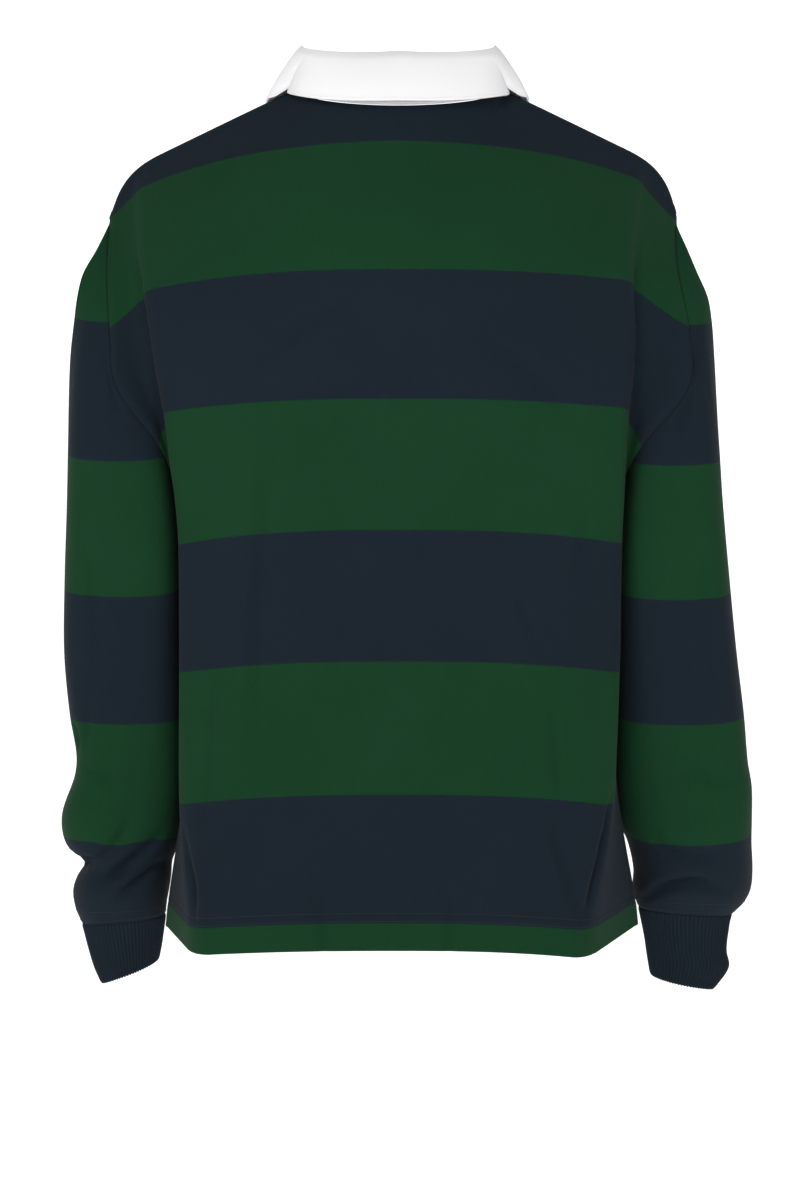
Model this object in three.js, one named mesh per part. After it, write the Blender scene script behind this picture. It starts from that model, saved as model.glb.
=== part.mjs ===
// Long-sleeved rugby shirt in heavy striped jersey, in its worn shape, open at neck, hem and cuffs.
// Millimetres, +Z up. The back of the shirt faces +Y, its left sleeve is at +X.
// The origin lies on the centre line at the height where the shoulder seams start, mid depth.
import * as THREE from "three";

// Driving sizes
const wall = 1.6;
const seamTrim = { panel: 0.25, sleeve: 0.3, stand: 0.4, backToBack: 0.3 };
const neckLevel = { back: 705, front: 650, side: 735 };
const shoulderEndLevel = 682;
const underarmLevel = 385;
const neckHalfWidth = 88;
const neckSide = new THREE.Vector3(neckHalfWidth, 18, 8);
const neckCentre = { back: new THREE.Vector3(0, 58, -11), front: new THREE.Vector3(0, -72, -66) };
const shoulder = { slope: 25, turn: 52, straightShare: 0.6, steps: 40 };
const shoulderLength = { left: 203, right: 191 };
const placket = { bottomLevel: 507, halfWidth: 15.5, topLevel: 657, clearance: 0.7 };
const button = { radius: 5.8, thickness: 2.8, levels: [625, 585, 545], clearance: 0.35 };
const stand = { backHeight: 44, sideHeight: 34, frontHeight: 24, backLean: 8, sideLean: 6, frontLean: 10 };
const leaf = { rise: 3.2, bulge: 6.5, drop: 7, belly: 2, steps: 7 };
const collarAxisY = -5;

// Grid columns of the fold line beside the sleeve and of the neck's side, and what share of the cut's
// half width they have along the top edge
const foldColumn = 0.72;
const neckColumn = 0.279;
const foldShare = 0.8;
const neckShare = 0.31;

// Colours
const navy = 0x222633;
const green = 0x1c4028;
const white = 0xf0eff2;
const cream = 0xd9d6cc;

// Turns a heading of column names and rows of numbers into records
function table(heading, rows) {
  const names = heading.split(" ");
  return rows.map((row) => Object.fromEntries(names.map((name, i) => [name, row[i]])));
}

// Levels are heights above the hem along the cut. Each row is one section of the body.
const centreRows = {
  back: table("level y z bow", [
    [0, 112, -716, 3.6],
    [21, 111, -693, 3.6],
    [129, 107, -587, 3.6],
    [237, 106, -477, 3.6],
    [345, 109, -368, 3.4],
    [385, 111, -328, 3.2],
    [415, 112, -298, 3.0],
    [453, 114, -260, 2.8],
    [507, 117, -206, 2.5],
    [561, 116, -153, 2.1],
    [615, 104, -98, 1.6],
    [669, 80, -43, 1.25],
  ]),
  front: table("level y z bow", [
    [0, -112, -704, 3.6],
    [21, -113, -683, 3.6],
    [129, -117, -578, 3.6],
    [237, -121, -470, 3.4],
    [345, -125, -362, 3.2],
    [385, -126, -321, 3.0],
    [415, -126, -291, 2.9],
    [453, -125, -253, 2.7],
    [507, -121, -199, 2.4],
    [561, -112, -146, 2.0],
    [615, -95, -93, 1.6],
  ]),
};

// The fold line beside each sleeve, the depth of the crease outside it, and the side or armhole edge
const sideRows = {
  left: table("level foldX foldY foldZ dip edgeX edgeY edgeZ spread", [
    [0, 170, 98, -721, 0, 199, 0, -703, 1],
    [21, 172, 96, -699, 0, 197, 0, -684, 1],
    [129, 184, 76, -597, 0, 182.5, 0, -583, 1],
    [237, 184, 72, -487, 0, 178, 0, -474, 1],
    [345, 184.5, 76, -380, 0, 179, 0, -367, 1],
    [385, 187, 80, -342, 2, 185.5, 0, -327, 1.2],
    [415, 191, 86, -310, 8, 190.5, 30, -322, 1.2],
    [453, 195, 88, -270, 15, 201, 58, -297, 1.2],
    [507, 203, 88, -219, 17, 236, 68, -248, 1.2],
    [561, 211, 80, -168, 12, 242.5, 62, -199, 1.2],
    [615, 217, 52, -124, 6, 246, 42, -148, 1.2],
    [669, 220, 18, -77, 2, 246, 8, -102, 1.1],
  ]),
  right: table("level foldX foldY foldZ dip edgeX edgeY edgeZ spread", [
    [0, 156, 106, -723, 0, 205, 0, -702, 1],
    [21, 158, 104, -700, 0, 203, 0, -683, 1],
    [129, 179, 88, -597, 0, 186, 0, -583, 1],
    [237, 185.5, 74, -487, 0, 180, 0, -474, 1],
    [345, 187.5, 76, -379, 0, 181, 0, -367, 1],
    [385, 189, 82, -336, 2, 186, 0, -327, 1.2],
    [415, 190, 86, -307, 8, 191, 31, -322, 1.2],
    [453, 191, 88, -267, 15, 204, 60, -298, 1.2],
    [507, 195, 86, -213, 17, 243, 68, -248, 1.2],
    [561, 194, 80, -160, 12, 244, 62, -198, 1.2],
    [615, 197, 56, -112, 5, 236, 42, -148, 1.2],
    [669, 204, 24, -70, 1, 236, 8, -104, 1.1],
  ]),
};

// Sleeve sections from the shoulder down: height, outer and inner reach, middle and half of the depth,
// and how far the outer side and the back side hang below the middle
const sleeveHeading = "z outer inner midY halfDepth lean tilt";
const sleeveRows = {
  left: table(sleeveHeading, [
    [-106, 243.5, 230, 0, 6, 0, 0],
    [-130, 254.5, 221, 0, 32, 0, 0],
    [-150, 265.5, 214, 0, 46, 0, 0],
    [-170, 270.5, 206, 0, 56, 0, 0],
    [-190, 273, 200, 0, 62, 0, 0],
    [-220, 276.5, 195, 0, 67, 0, 0],
    [-255, 278.5, 190, 0, 70, 0, 0],
    [-298, 280, 187, 0, 72, 0, 0],
    [-345, 281.5, 185, -6, 72, 0, 3],
    [-411, 284.5, 183.5, -18, 70, 0, 8],
    [-469, 285.5, 183.5, -27, 67, 0, 9],
    [-521, 281.5, 183.5, -36, 63, 0, 9],
    [-555, 276.5, 183.5, -42, 60, 0, 8],
    [-575, 278.5, 184, -45, 58, 0, 7],
    [-605.5, 289.5, 185.5, -49, 57, 0, 6],
    [-623, 290.5, 188, -52, 56, 0, 5],
    [-638, 285.5, 191, -54, 54, 0, 4],
    [-651.5, 271.5, 196, -56, 50, 0, 3],
    [-664, 278, 197, -57, 49, 0, 2],
    [-677, 282, 199, -59, 47, 0, 2],
    [-690, 280, 201, -60, 42, 2, 2],
    [-702, 274.5, 202, -61, 36, 4, 2],
    [-720, 269, 204, -63, 33, 7, 2],
    [-735, 264, 206, -65, 32, 9, 2],
    [-748, 258, 208.5, -67, 31, 10, 2],
  ]),
  right: table(sleeveHeading, [
    [-106, 234, 222, 0, 6, 0, 0],
    [-130, 244, 213, 0, 32, 0, 0],
    [-150, 252, 206, 0, 46, 0, 0],
    [-170, 260.5, 200, 0, 56, 0, 0],
    [-190, 264, 196, 0, 62, 0, 0],
    [-220, 266.5, 193, 0, 67, 0, 0],
    [-255, 269, 190.5, 0, 70, 0, 0],
    [-298, 272, 188, 0, 72, 0, 0],
    [-345, 275.5, 186, -6, 72, 0, 3],
    [-411, 282.5, 184.5, -18, 70, 0, 8],
    [-469, 289, 184.5, -27, 68, 0, 9],
    [-521, 296, 184.5, -36, 65, 0, 9],
    [-562, 300, 184.5, -42, 62, 0, 8],
    [-584, 304, 185.5, -46, 60, 0, 7],
    [-614.5, 305, 189, -50, 58, 0, 6],
    [-634, 305.2, 198, -53, 55, 0, 5],
    [-658, 306.5, 203.5, -56, 52, 0, 4],
    [-675, 305, 203, -58, 48, 1, 3],
    [-686, 299, 205, -60, 43, 2, 2],
    [-695, 289.5, 208, -61, 37, 3, 2],
    [-709, 286, 211, -62, 34, 4, 2],
    [-725, 284.5, 214, -64, 33, 5, 2],
    [-739, 286.5, 216, -66, 32, 5.5, 2],
    [-757, 274, 219, -68, 31, 6, 2],
  ]),
};
const cuffSeamZ = { left: -702, right: -695 };
const fanEndZ = -450;

// Which way round the sleeve each place of the armhole leads, in degrees from the outside
const armholeTurns = table("level turn", [
  [385, 180],
  [415, 152],
  [453, 124],
  [507, 74],
  [561, 46],
  [615, 25],
  [669, 6],
  [682, 0],
]);

// The free edge of the collar leaf, as places on the panels lifted off them
const leafRows = table("turn column below lift", [
  [0, 0, 5, 12.5],
  [0.2, 0.14, 5, 11.5],
  [0.34, 0.27, 3, 9],
  [0.43, 0.33, 2.5, 6.5],
  [0.5, 0.36, 0, 5.6],
  [0.6, 0.35, 14, 5],
  [0.8, 0.27, 36, 5],
  [1, 0.17, 60, 6],
]);

// Grid lines across half a panel and up it
const halfColumns = [
  0, 0.035, 0.07, 0.105, 0.14, 0.175, 0.21, 0.245, neckColumn,
  0.35, 0.43, 0.51, 0.58, 0.65, foldColumn, 0.77, 0.82, 0.88, 0.94, 1,
];
const lowerLevels = [0, 21, 57, 93, 129, 165, 201, 237, 273, 309, 345, 385];
const armholeLevels = [415, 434, 453, 480, 507, 534, 561, 588, 615];
const topLevel = { back: 705, front: 660 };
const upperLevels = { back: [642, 669, 687, 705], front: [627, 639, 650, 660] };
const foldSoftness = { hem: 0.05, above: 0.02 };
const sleeveBoxiness = { arm: 0.42, cuff: 0.1, armEndZ: -560, cuffStartZ: -690 };

const mix = THREE.MathUtils.lerp;
const smooth = THREE.MathUtils.smoothstep;
const sideSign = { left: 1, right: -1 };

// Smooth value of one column of a table at a level, by a cubic through the rows
function along(rows, key, at, column) {
  const last = rows.length - 1;
  let i = rows.findIndex((row, k) => k < last && (at - row[key]) * (at - rows[k + 1][key]) <= 0);
  if (i < 0) {
    i = (at - rows[0][key]) * (rows[last][key] - rows[0][key]) <= 0 ? 0 : last - 1;
  }
  const step = rows[i + 1][key] - rows[i][key];
  const t = THREE.MathUtils.clamp((at - rows[i][key]) / step, 0, 1);
  const slope = (k) => {
    const a = Math.max(k - 1, 0);
    const b = Math.min(k + 1, last);
    return (rows[b][column] - rows[a][column]) / (rows[b][key] - rows[a][key]);
  };
  return hermite(rows[i][column], rows[i + 1][column], slope(i) * step, slope(i + 1) * step, t);
}

function hermite(p, q, m, n, t) {
  const t2 = t * t;
  const t3 = t2 * t;
  return (2 * t3 - 3 * t2 + 1) * p + (t3 - 2 * t2 + t) * m + (3 * t2 - 2 * t3) * q + (t3 - t2) * n;
}

// Share of the cut's half width at a grid column of the top edge
function cutShare(column) {
  if (column <= foldColumn) {
    return (column / foldColumn) * foldShare;
  }
  return mix(foldShare, 1, (column - foldColumn) / (1 - foldColumn));
}

// The shoulder seam, from the neck outwards: straight down its slope, then turning down over the arm
function shoulderPoint(side, share) {
  const length = shoulderLength[side] * share;
  const point = neckSide.clone();
  for (let i = 0; i < shoulder.steps; i++) {
    const at = (share * (i + 0.5)) / shoulder.steps;
    const bend = smooth(at, shoulder.straightShare, 1);
    const angle = THREE.MathUtils.degToRad(shoulder.slope + shoulder.turn * bend);
    point.x += (Math.cos(angle) * length) / shoulder.steps;
    point.z -= (Math.sin(angle) * length) / shoulder.steps;
  }
  point.y = neckSide.y * (1 - smooth(share, 0, 1));
  return point;
}

// Top edge of a panel: the neckline as a quarter turn, then the shoulder seam
function topPoint(panel, side, column) {
  const share = cutShare(column);
  if (column <= neckColumn) {
    const angle = (column / neckColumn) * (Math.PI / 2);
    const rise = 1 - Math.cos(angle);
    const start = neckCentre[panel];
    return new THREE.Vector3(
      neckHalfWidth * Math.sin(angle),
      mix(start.y, neckSide.y, rise),
      mix(start.z, neckSide.z, rise),
    );
  }
  return shoulderPoint(side, (share - neckShare) / (1 - neckShare));
}

function topPlaceLevel(panel, column) {
  const share = cutShare(column);
  if (column <= neckColumn) {
    const rise = 1 - Math.cos((column / neckColumn) * (Math.PI / 2));
    return mix(neckLevel[panel], neckLevel.side, rise);
  }
  return mix(neckLevel.side, shoulderEndLevel, (share - neckShare) / (1 - neckShare));
}

// The edge that a panel shares: the side seam below the underarm, the armhole above it
function edgePoint(panel, side, level) {
  const facing = panel === "back" ? 1 : -1;
  const rows = sideRows[side];
  if (level <= underarmLevel) {
    const seam = rows.filter((row) => row.level <= underarmLevel);
    const at = (column) => along(seam, "level", level, column);
    return new THREE.Vector3(at("edgeX"), 0, at("edgeZ"));
  }
  const end = shoulderPoint(side, 1);
  const loop = rows.filter((row) => row.level >= underarmLevel);
  const start = { ...loop[1], level: 2 * underarmLevel - loop[1].level, edgeY: -loop[1].edgeY };
  loop.unshift(start);
  loop.push({ level: shoulderEndLevel, edgeX: end.x, edgeY: end.y, edgeZ: end.z });
  const at = (column) => along(loop, "level", level, column);
  return new THREE.Vector3(at("edgeX"), facing * at("edgeY"), at("edgeZ"));
}

// One section of a panel, before its edge is set, at a row of the tables
function sectionPoint(panel, side, index, column) {
  const centre = centreRows[panel][index];
  const row = sideRows[side][index];
  const facing = panel === "back" ? 1 : -1;
  if (column <= foldColumn) {
    const t = column / foldColumn;
    return new THREE.Vector3(
      row.foldX * t,
      mix(centre.y, facing * row.foldY, t ** centre.bow),
      mix(centre.z, row.foldZ, t ** 2.6),
    );
  }
  const f = (column - foldColumn) / (1 - foldColumn);
  const dip = row.dip * smooth(f, 0, 0.2) * (1 - smooth(f, 0.4, 1));
  return new THREE.Vector3(
    mix(row.foldX, row.edgeX, f ** row.spread),
    facing * (mix(row.foldY, row.edgeY, f) - dip),
    mix(row.foldZ, row.edgeZ, f),
  );
}

function roughPoint(panel, side, column, level) {
  const rows = centreRows[panel];
  const stops = rows.map((row) => row.level).concat(topLevel[panel]);
  const pointAt = (k) =>
    k < rows.length ? sectionPoint(panel, side, k, column) : topPoint(panel, side, column);
  let i = stops.findIndex((stop, k) => k + 1 < stops.length && level <= stops[k + 1]);
  i = i < 0 ? stops.length - 2 : i;
  const step = stops[i + 1] - stops[i];
  const t = (level - stops[i]) / step;
  const slope = (k) => {
    const a = Math.max(k - 1, 0);
    const b = Math.min(k + 1, stops.length - 1);
    return pointAt(b).sub(pointAt(a)).multiplyScalar(step / (stops[b] - stops[a]));
  };
  const [p, q, m, n] = [pointAt(i), pointAt(i + 1), slope(i), slope(i + 1)];
  return new THREE.Vector3(
    hermite(p.x, q.x, m.x, n.x, t),
    hermite(p.y, q.y, m.y, n.y, t),
    hermite(p.z, q.z, m.z, n.z, t),
  );
}

// True height in the cut of a place on the grid
function cutLevel(panel, column, level) {
  const rows = centreRows[panel];
  const last = rows[rows.length - 1].level;
  if (level <= last) {
    return level;
  }
  return mix(last, topPlaceLevel(panel, column), (level - last) / (topLevel[panel] - last));
}

// A point of the body's outer face. Softens the fold line, and meets the shared edges exactly.
function bodyPoint(panel, side, column, level) {
  const softness = mix(foldSoftness.hem, foldSoftness.above, smooth(level, 60, 250));
  const reach = softness * Math.min(1, (1 - column) / softness);
  const point = new THREE.Vector3();
  const taps = [-1, -0.5, 0, 0.5, 1];
  for (const tap of taps) {
    const place = column + tap * reach;
    const part = roughPoint(panel, side, Math.abs(place), level);
    part.x *= Math.sign(place) || 1;
    point.add(part);
  }
  point.multiplyScalar(1 / taps.length);
  const top = smooth(level, topLevel[panel] - 12, topLevel[panel]);
  point.lerp(roughPoint(panel, side, column, level), top);
  const pull = smooth(column, 0.72, 1);
  const edge = edgePoint(panel, side, cutLevel(panel, 1, level));
  point.addScaledVector(edge.sub(roughPoint(panel, side, 1, level)), pull);
  point.x *= sideSign[side];
  return point;
}

// A grid of points over a whole panel, from its right edge to its left
function panelGrid(panel) {
  const levels = [...lowerLevels, ...armholeLevels, ...upperLevels[panel]];
  const columns = [...halfColumns.slice(1).reverse().map((c) => -c), ...halfColumns];
  return levels.map((level) =>
    columns.map((c) => bodyPoint(panel, c < 0 ? "right" : "left", Math.abs(c), level)),
  );
}

// A sleeve as a tube of rounded, somewhat square sections. turn is 0 at the outside and grows
// towards the back.
function tubePoint(side, z, turn) {
  const at = (column) => along(sleeveRows[side], "z", z, column);
  const half = (at("outer") - at("inner")) / 2;
  const middle = (at("outer") + at("inner")) / 2;
  const c = Math.cos(turn);
  const s = Math.sin(turn);
  const { arm, cuff, armEndZ, cuffStartZ } = sleeveBoxiness;
  const boxiness = mix(arm, cuff, smooth(-z, -armEndZ, -cuffStartZ));
  return new THREE.Vector3(
    sideSign[side] * (middle + half * c * (1 + boxiness * s * s)),
    at("midY") + at("halfDepth") * s * (1 + boxiness * c * c),
    z - at("lean") * c - at("tilt") * s,
  );
}

// The armhole as a ring of places, from the underarm up the back edge and down the front edge
function armholeRing(side, grids) {
  const column = side === "left" ? grids.back[0].length - 1 : 0;
  const first = lowerLevels.length - 1;
  const back = grids.back.slice(first).map((row) => row[column]);
  const front = grids.front.slice(first).map((row) => row[column]);
  return [...back, ...front.slice(1, -1).reverse()];
}

// The turns at which the sleeve's lines run, one for each place of the armhole ring
function ringTurns() {
  const turns = (panel) => {
    const levels = [...armholeLevels, ...upperLevels[panel]].map((level) => cutLevel(panel, 1, level));
    return levels.map((level) => {
      return THREE.MathUtils.degToRad(along(armholeTurns, "level", level, "turn"));
    });
  };
  return [Math.PI, ...turns("back"), ...turns("front").slice(0, -1).reverse().map((turn) => -turn)];
}

function sleeveGrid(side, ring) {
  const turns = ringTurns();
  const fanSteps = 10;
  const rows = [];
  const starts = ring.map((point, k) => {
    const at = (column) => along(sleeveRows[side], "z", point.z, column);
    const half = (at("outer") - at("inner")) / 2;
    const middle = (at("outer") + at("inner")) / 2;
    let turn = Math.atan2(
      (point.y - at("midY")) / at("halfDepth"),
      (point.x * sideSign[side] - middle) / half,
    );
    if (k > ring.length / 2 && turn > 0) {
      turn -= 2 * Math.PI;
    }
    if (k === 0) {
      turn = Math.PI;
    }
    return { turn, shift: point.clone().sub(tubePoint(side, point.z, turn)) };
  });
  for (let i = 0; i <= fanSteps; i++) {
    const g = i / fanSteps;
    rows.push(ring.map((point, k) => {
      const settled = 1 - (1 - Math.min(1, g / 0.8)) ** 2;
      const turn = mix(starts[k].turn, turns[k], settled);
      const place = tubePoint(side, mix(point.z, fanEndZ, g), turn);
      return place.addScaledVector(starts[k].shift, (1 - g) ** 3);
    }));
  }
  const stops = sleeveRows[side].map((row) => row.z);
  for (const z of stops.filter((stop) => stop < fanEndZ && stop >= cuffSeamZ[side])) {
    rows.push(turns.map((turn) => tubePoint(side, z, turn)));
  }
  return rows;
}

function cuffGrid(side) {
  const stops = sleeveRows[side].map((row) => row.z).filter((z) => z <= cuffSeamZ[side]);
  return stops.map((z) => ringTurns().map((turn) => tubePoint(side, z, turn)));
}

// The neck seam as a line of places, from the front centre round the left, the back and the right
function neckLine(grids) {
  const middle = halfColumns.length - 1;
  const reach = halfColumns.indexOf(neckColumn);
  const back = grids.back[grids.back.length - 1];
  const front = grids.front[grids.front.length - 1];
  const line = [];
  for (let j = 0; j < reach; j++) {
    line.push(front[middle + j]);
  }
  for (let j = reach; j >= -reach; j--) {
    line.push(back[middle + j]);
  }
  for (let j = -reach + 1; j <= 0; j++) {
    line.push(front[middle + j]);
  }
  return line;
}

// Share of the way from the back centre to the front centre, and the side, of a place on the neck line
function neckTurn(index, count) {
  const place = (2 * index) / (count - 1) - 1;
  return { turn: Math.abs(place), side: place < 0 ? "left" : "right" };
}

const standRows = [
  { turn: 0, height: stand.backHeight, lean: stand.backLean },
  { turn: 0.5, height: stand.sideHeight, lean: stand.sideLean },
  { turn: 1, height: stand.frontHeight, lean: stand.frontLean },
];

function inward(point) {
  return new THREE.Vector3(-point.x, collarAxisY - point.y, 0).normalize();
}

function standGrid(line) {
  const rows = [];
  for (const share of [0, 0.35, 0.7, 1]) {
    rows.push(line.map((base, i) => {
      const { turn } = neckTurn(i, line.length);
      const height = along(standRows, "turn", turn, "height");
      const lean = along(standRows, "turn", turn, "lean");
      const point = base.clone().addScaledVector(inward(base), lean * share);
      point.z += height * share;
      return point;
    }));
  }
  return rows;
}

// A place on a panel lifted off its outer face
function liftedPoint(panel, side, column, level, lift) {
  const step = 0.004;
  const base = bodyPoint(panel, side, column, level);
  const nearColumn = bodyPoint(panel, side, column + step, level).sub(base);
  const nearLevel = base.clone().sub(bodyPoint(panel, side, column, level - 1));
  const normal = nearColumn.cross(nearLevel).normalize();
  const facing = (panel === "back" ? -1 : 1) * sideSign[side];
  return base.addScaledVector(normal, facing * lift);
}

function leafGrid(standTop) {
  const rows = [];
  for (let k = 0; k <= leaf.steps; k++) {
    const r = k / leaf.steps;
    rows.push(standTop.map((top, i) => {
      const { turn, side } = neckTurn(i, standTop.length);
      const at = (column) => along(leafRows, "turn", turn, column);
      const panel = turn <= 0.5 ? "back" : "front";
      const level = Math.min(topLevel[panel], topLevel[panel] - at("below"));
      const edge = liftedPoint(panel, side, at("column"), level, at("lift"));
      const roll = top.clone();
      roll.z += leaf.rise;
      const knee = roll.clone().addScaledVector(inward(top), -leaf.bulge);
      knee.z -= leaf.drop;
      const belly = knee.clone().lerp(edge, 0.5).addScaledVector(inward(top), -leaf.belly);
      const path = [roll, knee, belly, edge].map(({ x, y, z }, n) => ({ share: [0, 0.25, 0.6, 1][n], x, y, z }));
      return new THREE.Vector3(...["x", "y", "z"].map((axis) => along(path, "share", r, axis)));
    }));
  }
  return rows;
}

// A band of the placket over the front panel's own rows, at a distance outside or inside its face
function placketGrid(lift) {
  const above = upperLevels.front.slice(0, -1);
  const levels = [...armholeLevels.filter((l) => l >= placket.bottomLevel), ...above, placket.topLevel];
  const shares = [-1, -0.5, 0, 0.5, 1];
  return levels.map((level) => shares.map((share) => {
    const side = share < 0 ? "right" : "left";
    const probe = 0.05;
    const perColumn = Math.abs(liftedPoint("front", side, probe, level, lift).x) / probe;
    return liftedPoint("front", side, Math.abs(share) * placket.halfWidth / perColumn, level, lift);
  }));
}

// Sheets hold a grid of outer points until all are known, so that walls meet evenly at their seams
const sheets = [];
const normals = new Map();
const pointKey = (p) => `${p.x.toFixed(2)},${p.y.toFixed(2)},${p.z.toFixed(2)}`;

function addSheet(name, grid, color, options = {}) {
  const { wrap = false, flip = false, keep = () => true, trim = seamTrim.panel } = options;
  const columns = grid[0].length;
  const faces = [];
  for (let i = 0; i + 1 < grid.length; i++) {
    for (let j = 0; j < (wrap ? columns : columns - 1); j++) {
      if (keep(i, j)) {
        const a = i * columns + j;
        const b = i * columns + ((j + 1) % columns);
        faces.push(flip ? [a, a + columns, b + columns, b] : [a, b, b + columns, a + columns]);
      }
    }
  }
  const points = grid.flat();
  const facing = points.map(() => new THREE.Vector3());
  for (const [a, b, c, d] of faces) {
    const across = points[c].clone().sub(points[a]);
    const normal = across.cross(points[d].clone().sub(points[b]));
    for (const corner of [a, b, c, d]) {
      const key = pointKey(points[corner]);
      normals.set(key, (normals.get(key) ?? new THREE.Vector3()).add(normal));
      facing[corner].add(normal);
    }
  }
  sheets.push({ name, points, facing, faces, color, trim });
}

// Points of a sheet with its free edges drawn back a little, for the gap at a seam
function trimmedPoints(sheet) {
  const edges = new Map();
  for (const face of sheet.faces) {
    face.forEach((a, k) => {
      const b = face[(k + 1) % 4];
      const key = a < b ? `${a}_${b}` : `${b}_${a}`;
      edges.set(key, (edges.get(key) ?? 0) + 1);
    });
  }
  const links = sheet.points.map(() => ({ inner: [], rim: [] }));
  for (const [key, uses] of edges) {
    const [a, b] = key.split("_").map(Number);
    const kind = uses > 1 ? "inner" : "rim";
    links[a][kind].push(b);
    links[b][kind].push(a);
  }
  return sheet.points.map((point, i) => {
    const { inner, rim } = links[i];
    if (rim.length === 0) {
      return point.clone();
    }
    const targets = inner.length ? inner : rim;
    const pull = new THREE.Vector3();
    targets.forEach((t) => pull.add(sheet.points[t].clone().sub(point).normalize()));
    if (inner.length && rim.length === 2) {
      const run = sheet.points[rim[0]].clone().sub(sheet.points[rim[1]]).normalize();
      pull.addScaledVector(run, -pull.dot(run));
    }
    const own = sheet.facing[i].clone().normalize();
    const shared = normals.get(pointKey(point)).clone().normalize();
    const apart = seamTrim.backToBack * (1 - own.dot(shared));
    const reach = sheet.trim * (inner.length ? 1 : 1.4);
    return point.clone().addScaledVector(pull.normalize(), reach).addScaledVector(own, -apart);
  });
}

// A closed wall: the outer face, the inner face, and a strip along every free edge
function wallGeometry(sheet) {
  const outer = trimmedPoints(sheet);
  const inner = outer.map((point, i) => {
    const sum = normals.get(pointKey(sheet.points[i]));
    return sum ? point.clone().addScaledVector(sum.clone().normalize(), -wall) : point;
  });
  const count = outer.length;
  const triangles = [];
  const directed = new Set();
  for (const face of sheet.faces) {
    const [a, b, c, d] = face;
    const short = outer[a].distanceTo(outer[c]) <= outer[b].distanceTo(outer[d]);
    const split = short ? [[a, b, c], [a, c, d]] : [[a, b, d], [b, c, d]];
    for (const [p, q, r] of split) {
      triangles.push([p, q, r], [r + count, q + count, p + count]);
    }
    face.forEach((p, k) => directed.add(`${p}_${face[(k + 1) % 4]}`));
  }
  for (const key of directed) {
    const [a, b] = key.split("_").map(Number);
    if (!directed.has(`${b}_${a}`)) {
      triangles.push([a, a + count, b + count], [a, b + count, b]);
    }
  }
  const used = [...new Set(triangles.flat())].sort((a, b) => a - b);
  const place = new Map(used.map((vertex, i) => [vertex, i]));
  const all = [...outer, ...inner];
  const geometry = new THREE.BufferGeometry();
  const positions = used.flatMap((vertex) => all[vertex].toArray());
  geometry.setAttribute("position", new THREE.Float32BufferAttribute(positions, 3));
  geometry.setIndex(triangles.flat().map((vertex) => place.get(vertex)));
  geometry.computeVertexNormals();
  return geometry;
}

function cloth(color, roughness) {
  return new THREE.MeshStandardMaterial({ color, roughness, metalness: 0 });
}

// A round button with a raised rim, standing on the face of the over band
function buttonMesh(index, level) {
  const { radius, thickness, clearance } = button;
  const profile = [
    [0, 0], [radius * 0.86, 0], [radius, thickness * 0.35], [radius, thickness * 0.75],
    [radius * 0.88, thickness], [radius * 0.66, thickness * 0.7], [0, thickness * 0.62],
  ].map(([r, h]) => new THREE.Vector2(r, h));
  const geometry = new THREE.LatheGeometry(profile, 20);
  const mesh = new THREE.Mesh(geometry, cloth(cream, 0.5));
  const lift = placket.clearance + wall + clearance;
  const base = liftedPoint("front", "left", 0, level, lift);
  const above = liftedPoint("front", "left", 0, level, lift + 1);
  const axis = above.sub(base).normalize();
  mesh.quaternion.setFromUnitVectors(new THREE.Vector3(0, 1, 0), axis);
  mesh.position.copy(base);
  mesh.name = `placket_button_${index + 1}`;
  return mesh;
}

const grids = { back: panelGrid("back"), front: panelGrid("front") };
const middleColumn = halfColumns.length - 1;
const notchRow = [...lowerLevels, ...armholeLevels].indexOf(placket.bottomLevel);
const outsideNotch = (i, j) => i < notchRow || j < middleColumn - 1 || j > middleColumn;

addSheet("back_panel", grids.back, navy, { flip: true });
addSheet("front_panel", grids.front, green, { keep: outsideNotch });

for (const side of ["left", "right"]) {
  const ring = armholeRing(side, grids);
  const flip = side === "right";
  addSheet(`sleeve_${side}`, sleeveGrid(side, ring), green, { wrap: true, flip, trim: seamTrim.sleeve });
  addSheet(`cuff_${side}`, cuffGrid(side), navy, { wrap: true, flip });
}

const standPoints = standGrid(neckLine(grids));
addSheet("collar_stand", standPoints, white, { trim: seamTrim.stand });
addSheet("collar_leaf", leafGrid(standPoints[standPoints.length - 1]), white, { flip: true });
addSheet("placket_over", placketGrid(placket.clearance + wall), navy);
addSheet("placket_under", placketGrid(-placket.clearance - wall), navy);

// At each underarm the shirt's side and the sleeve hang back to back, so their walls end upwards
for (const side of ["left", "right"]) {
  const ring = armholeRing(side, grids);
  for (const step of [-3, -2, -1, 0, 1, 2, 3]) {
    const point = ring.at(step);
    const own = normals.get(pointKey(point)).clone().normalize();
    const share = [1, 0.85, 0.7, 0.4][Math.abs(step)];
    normals.set(pointKey(point), own.multiplyScalar(1 - share).add(new THREE.Vector3(0, 0, -share)));
  }
}

const shirt = new THREE.Group();
for (const sheet of sheets) {
  const mesh = new THREE.Mesh(wallGeometry(sheet), cloth(sheet.color, 0.9));
  mesh.name = sheet.name;
  shirt.add(mesh);
}
button.levels.forEach((level, index) => shirt.add(buttonMesh(index, level)));

export default shirt;
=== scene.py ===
# Long-sleeved rugby shirt in heavy striped jersey, in its worn shape.
# Metres in the frame, +Z up, the back towards +Y and the left sleeve at +X. Sizes are in millimetres.
import math

import bpy
import numpy as np
from mathutils import Matrix, Vector


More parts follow.
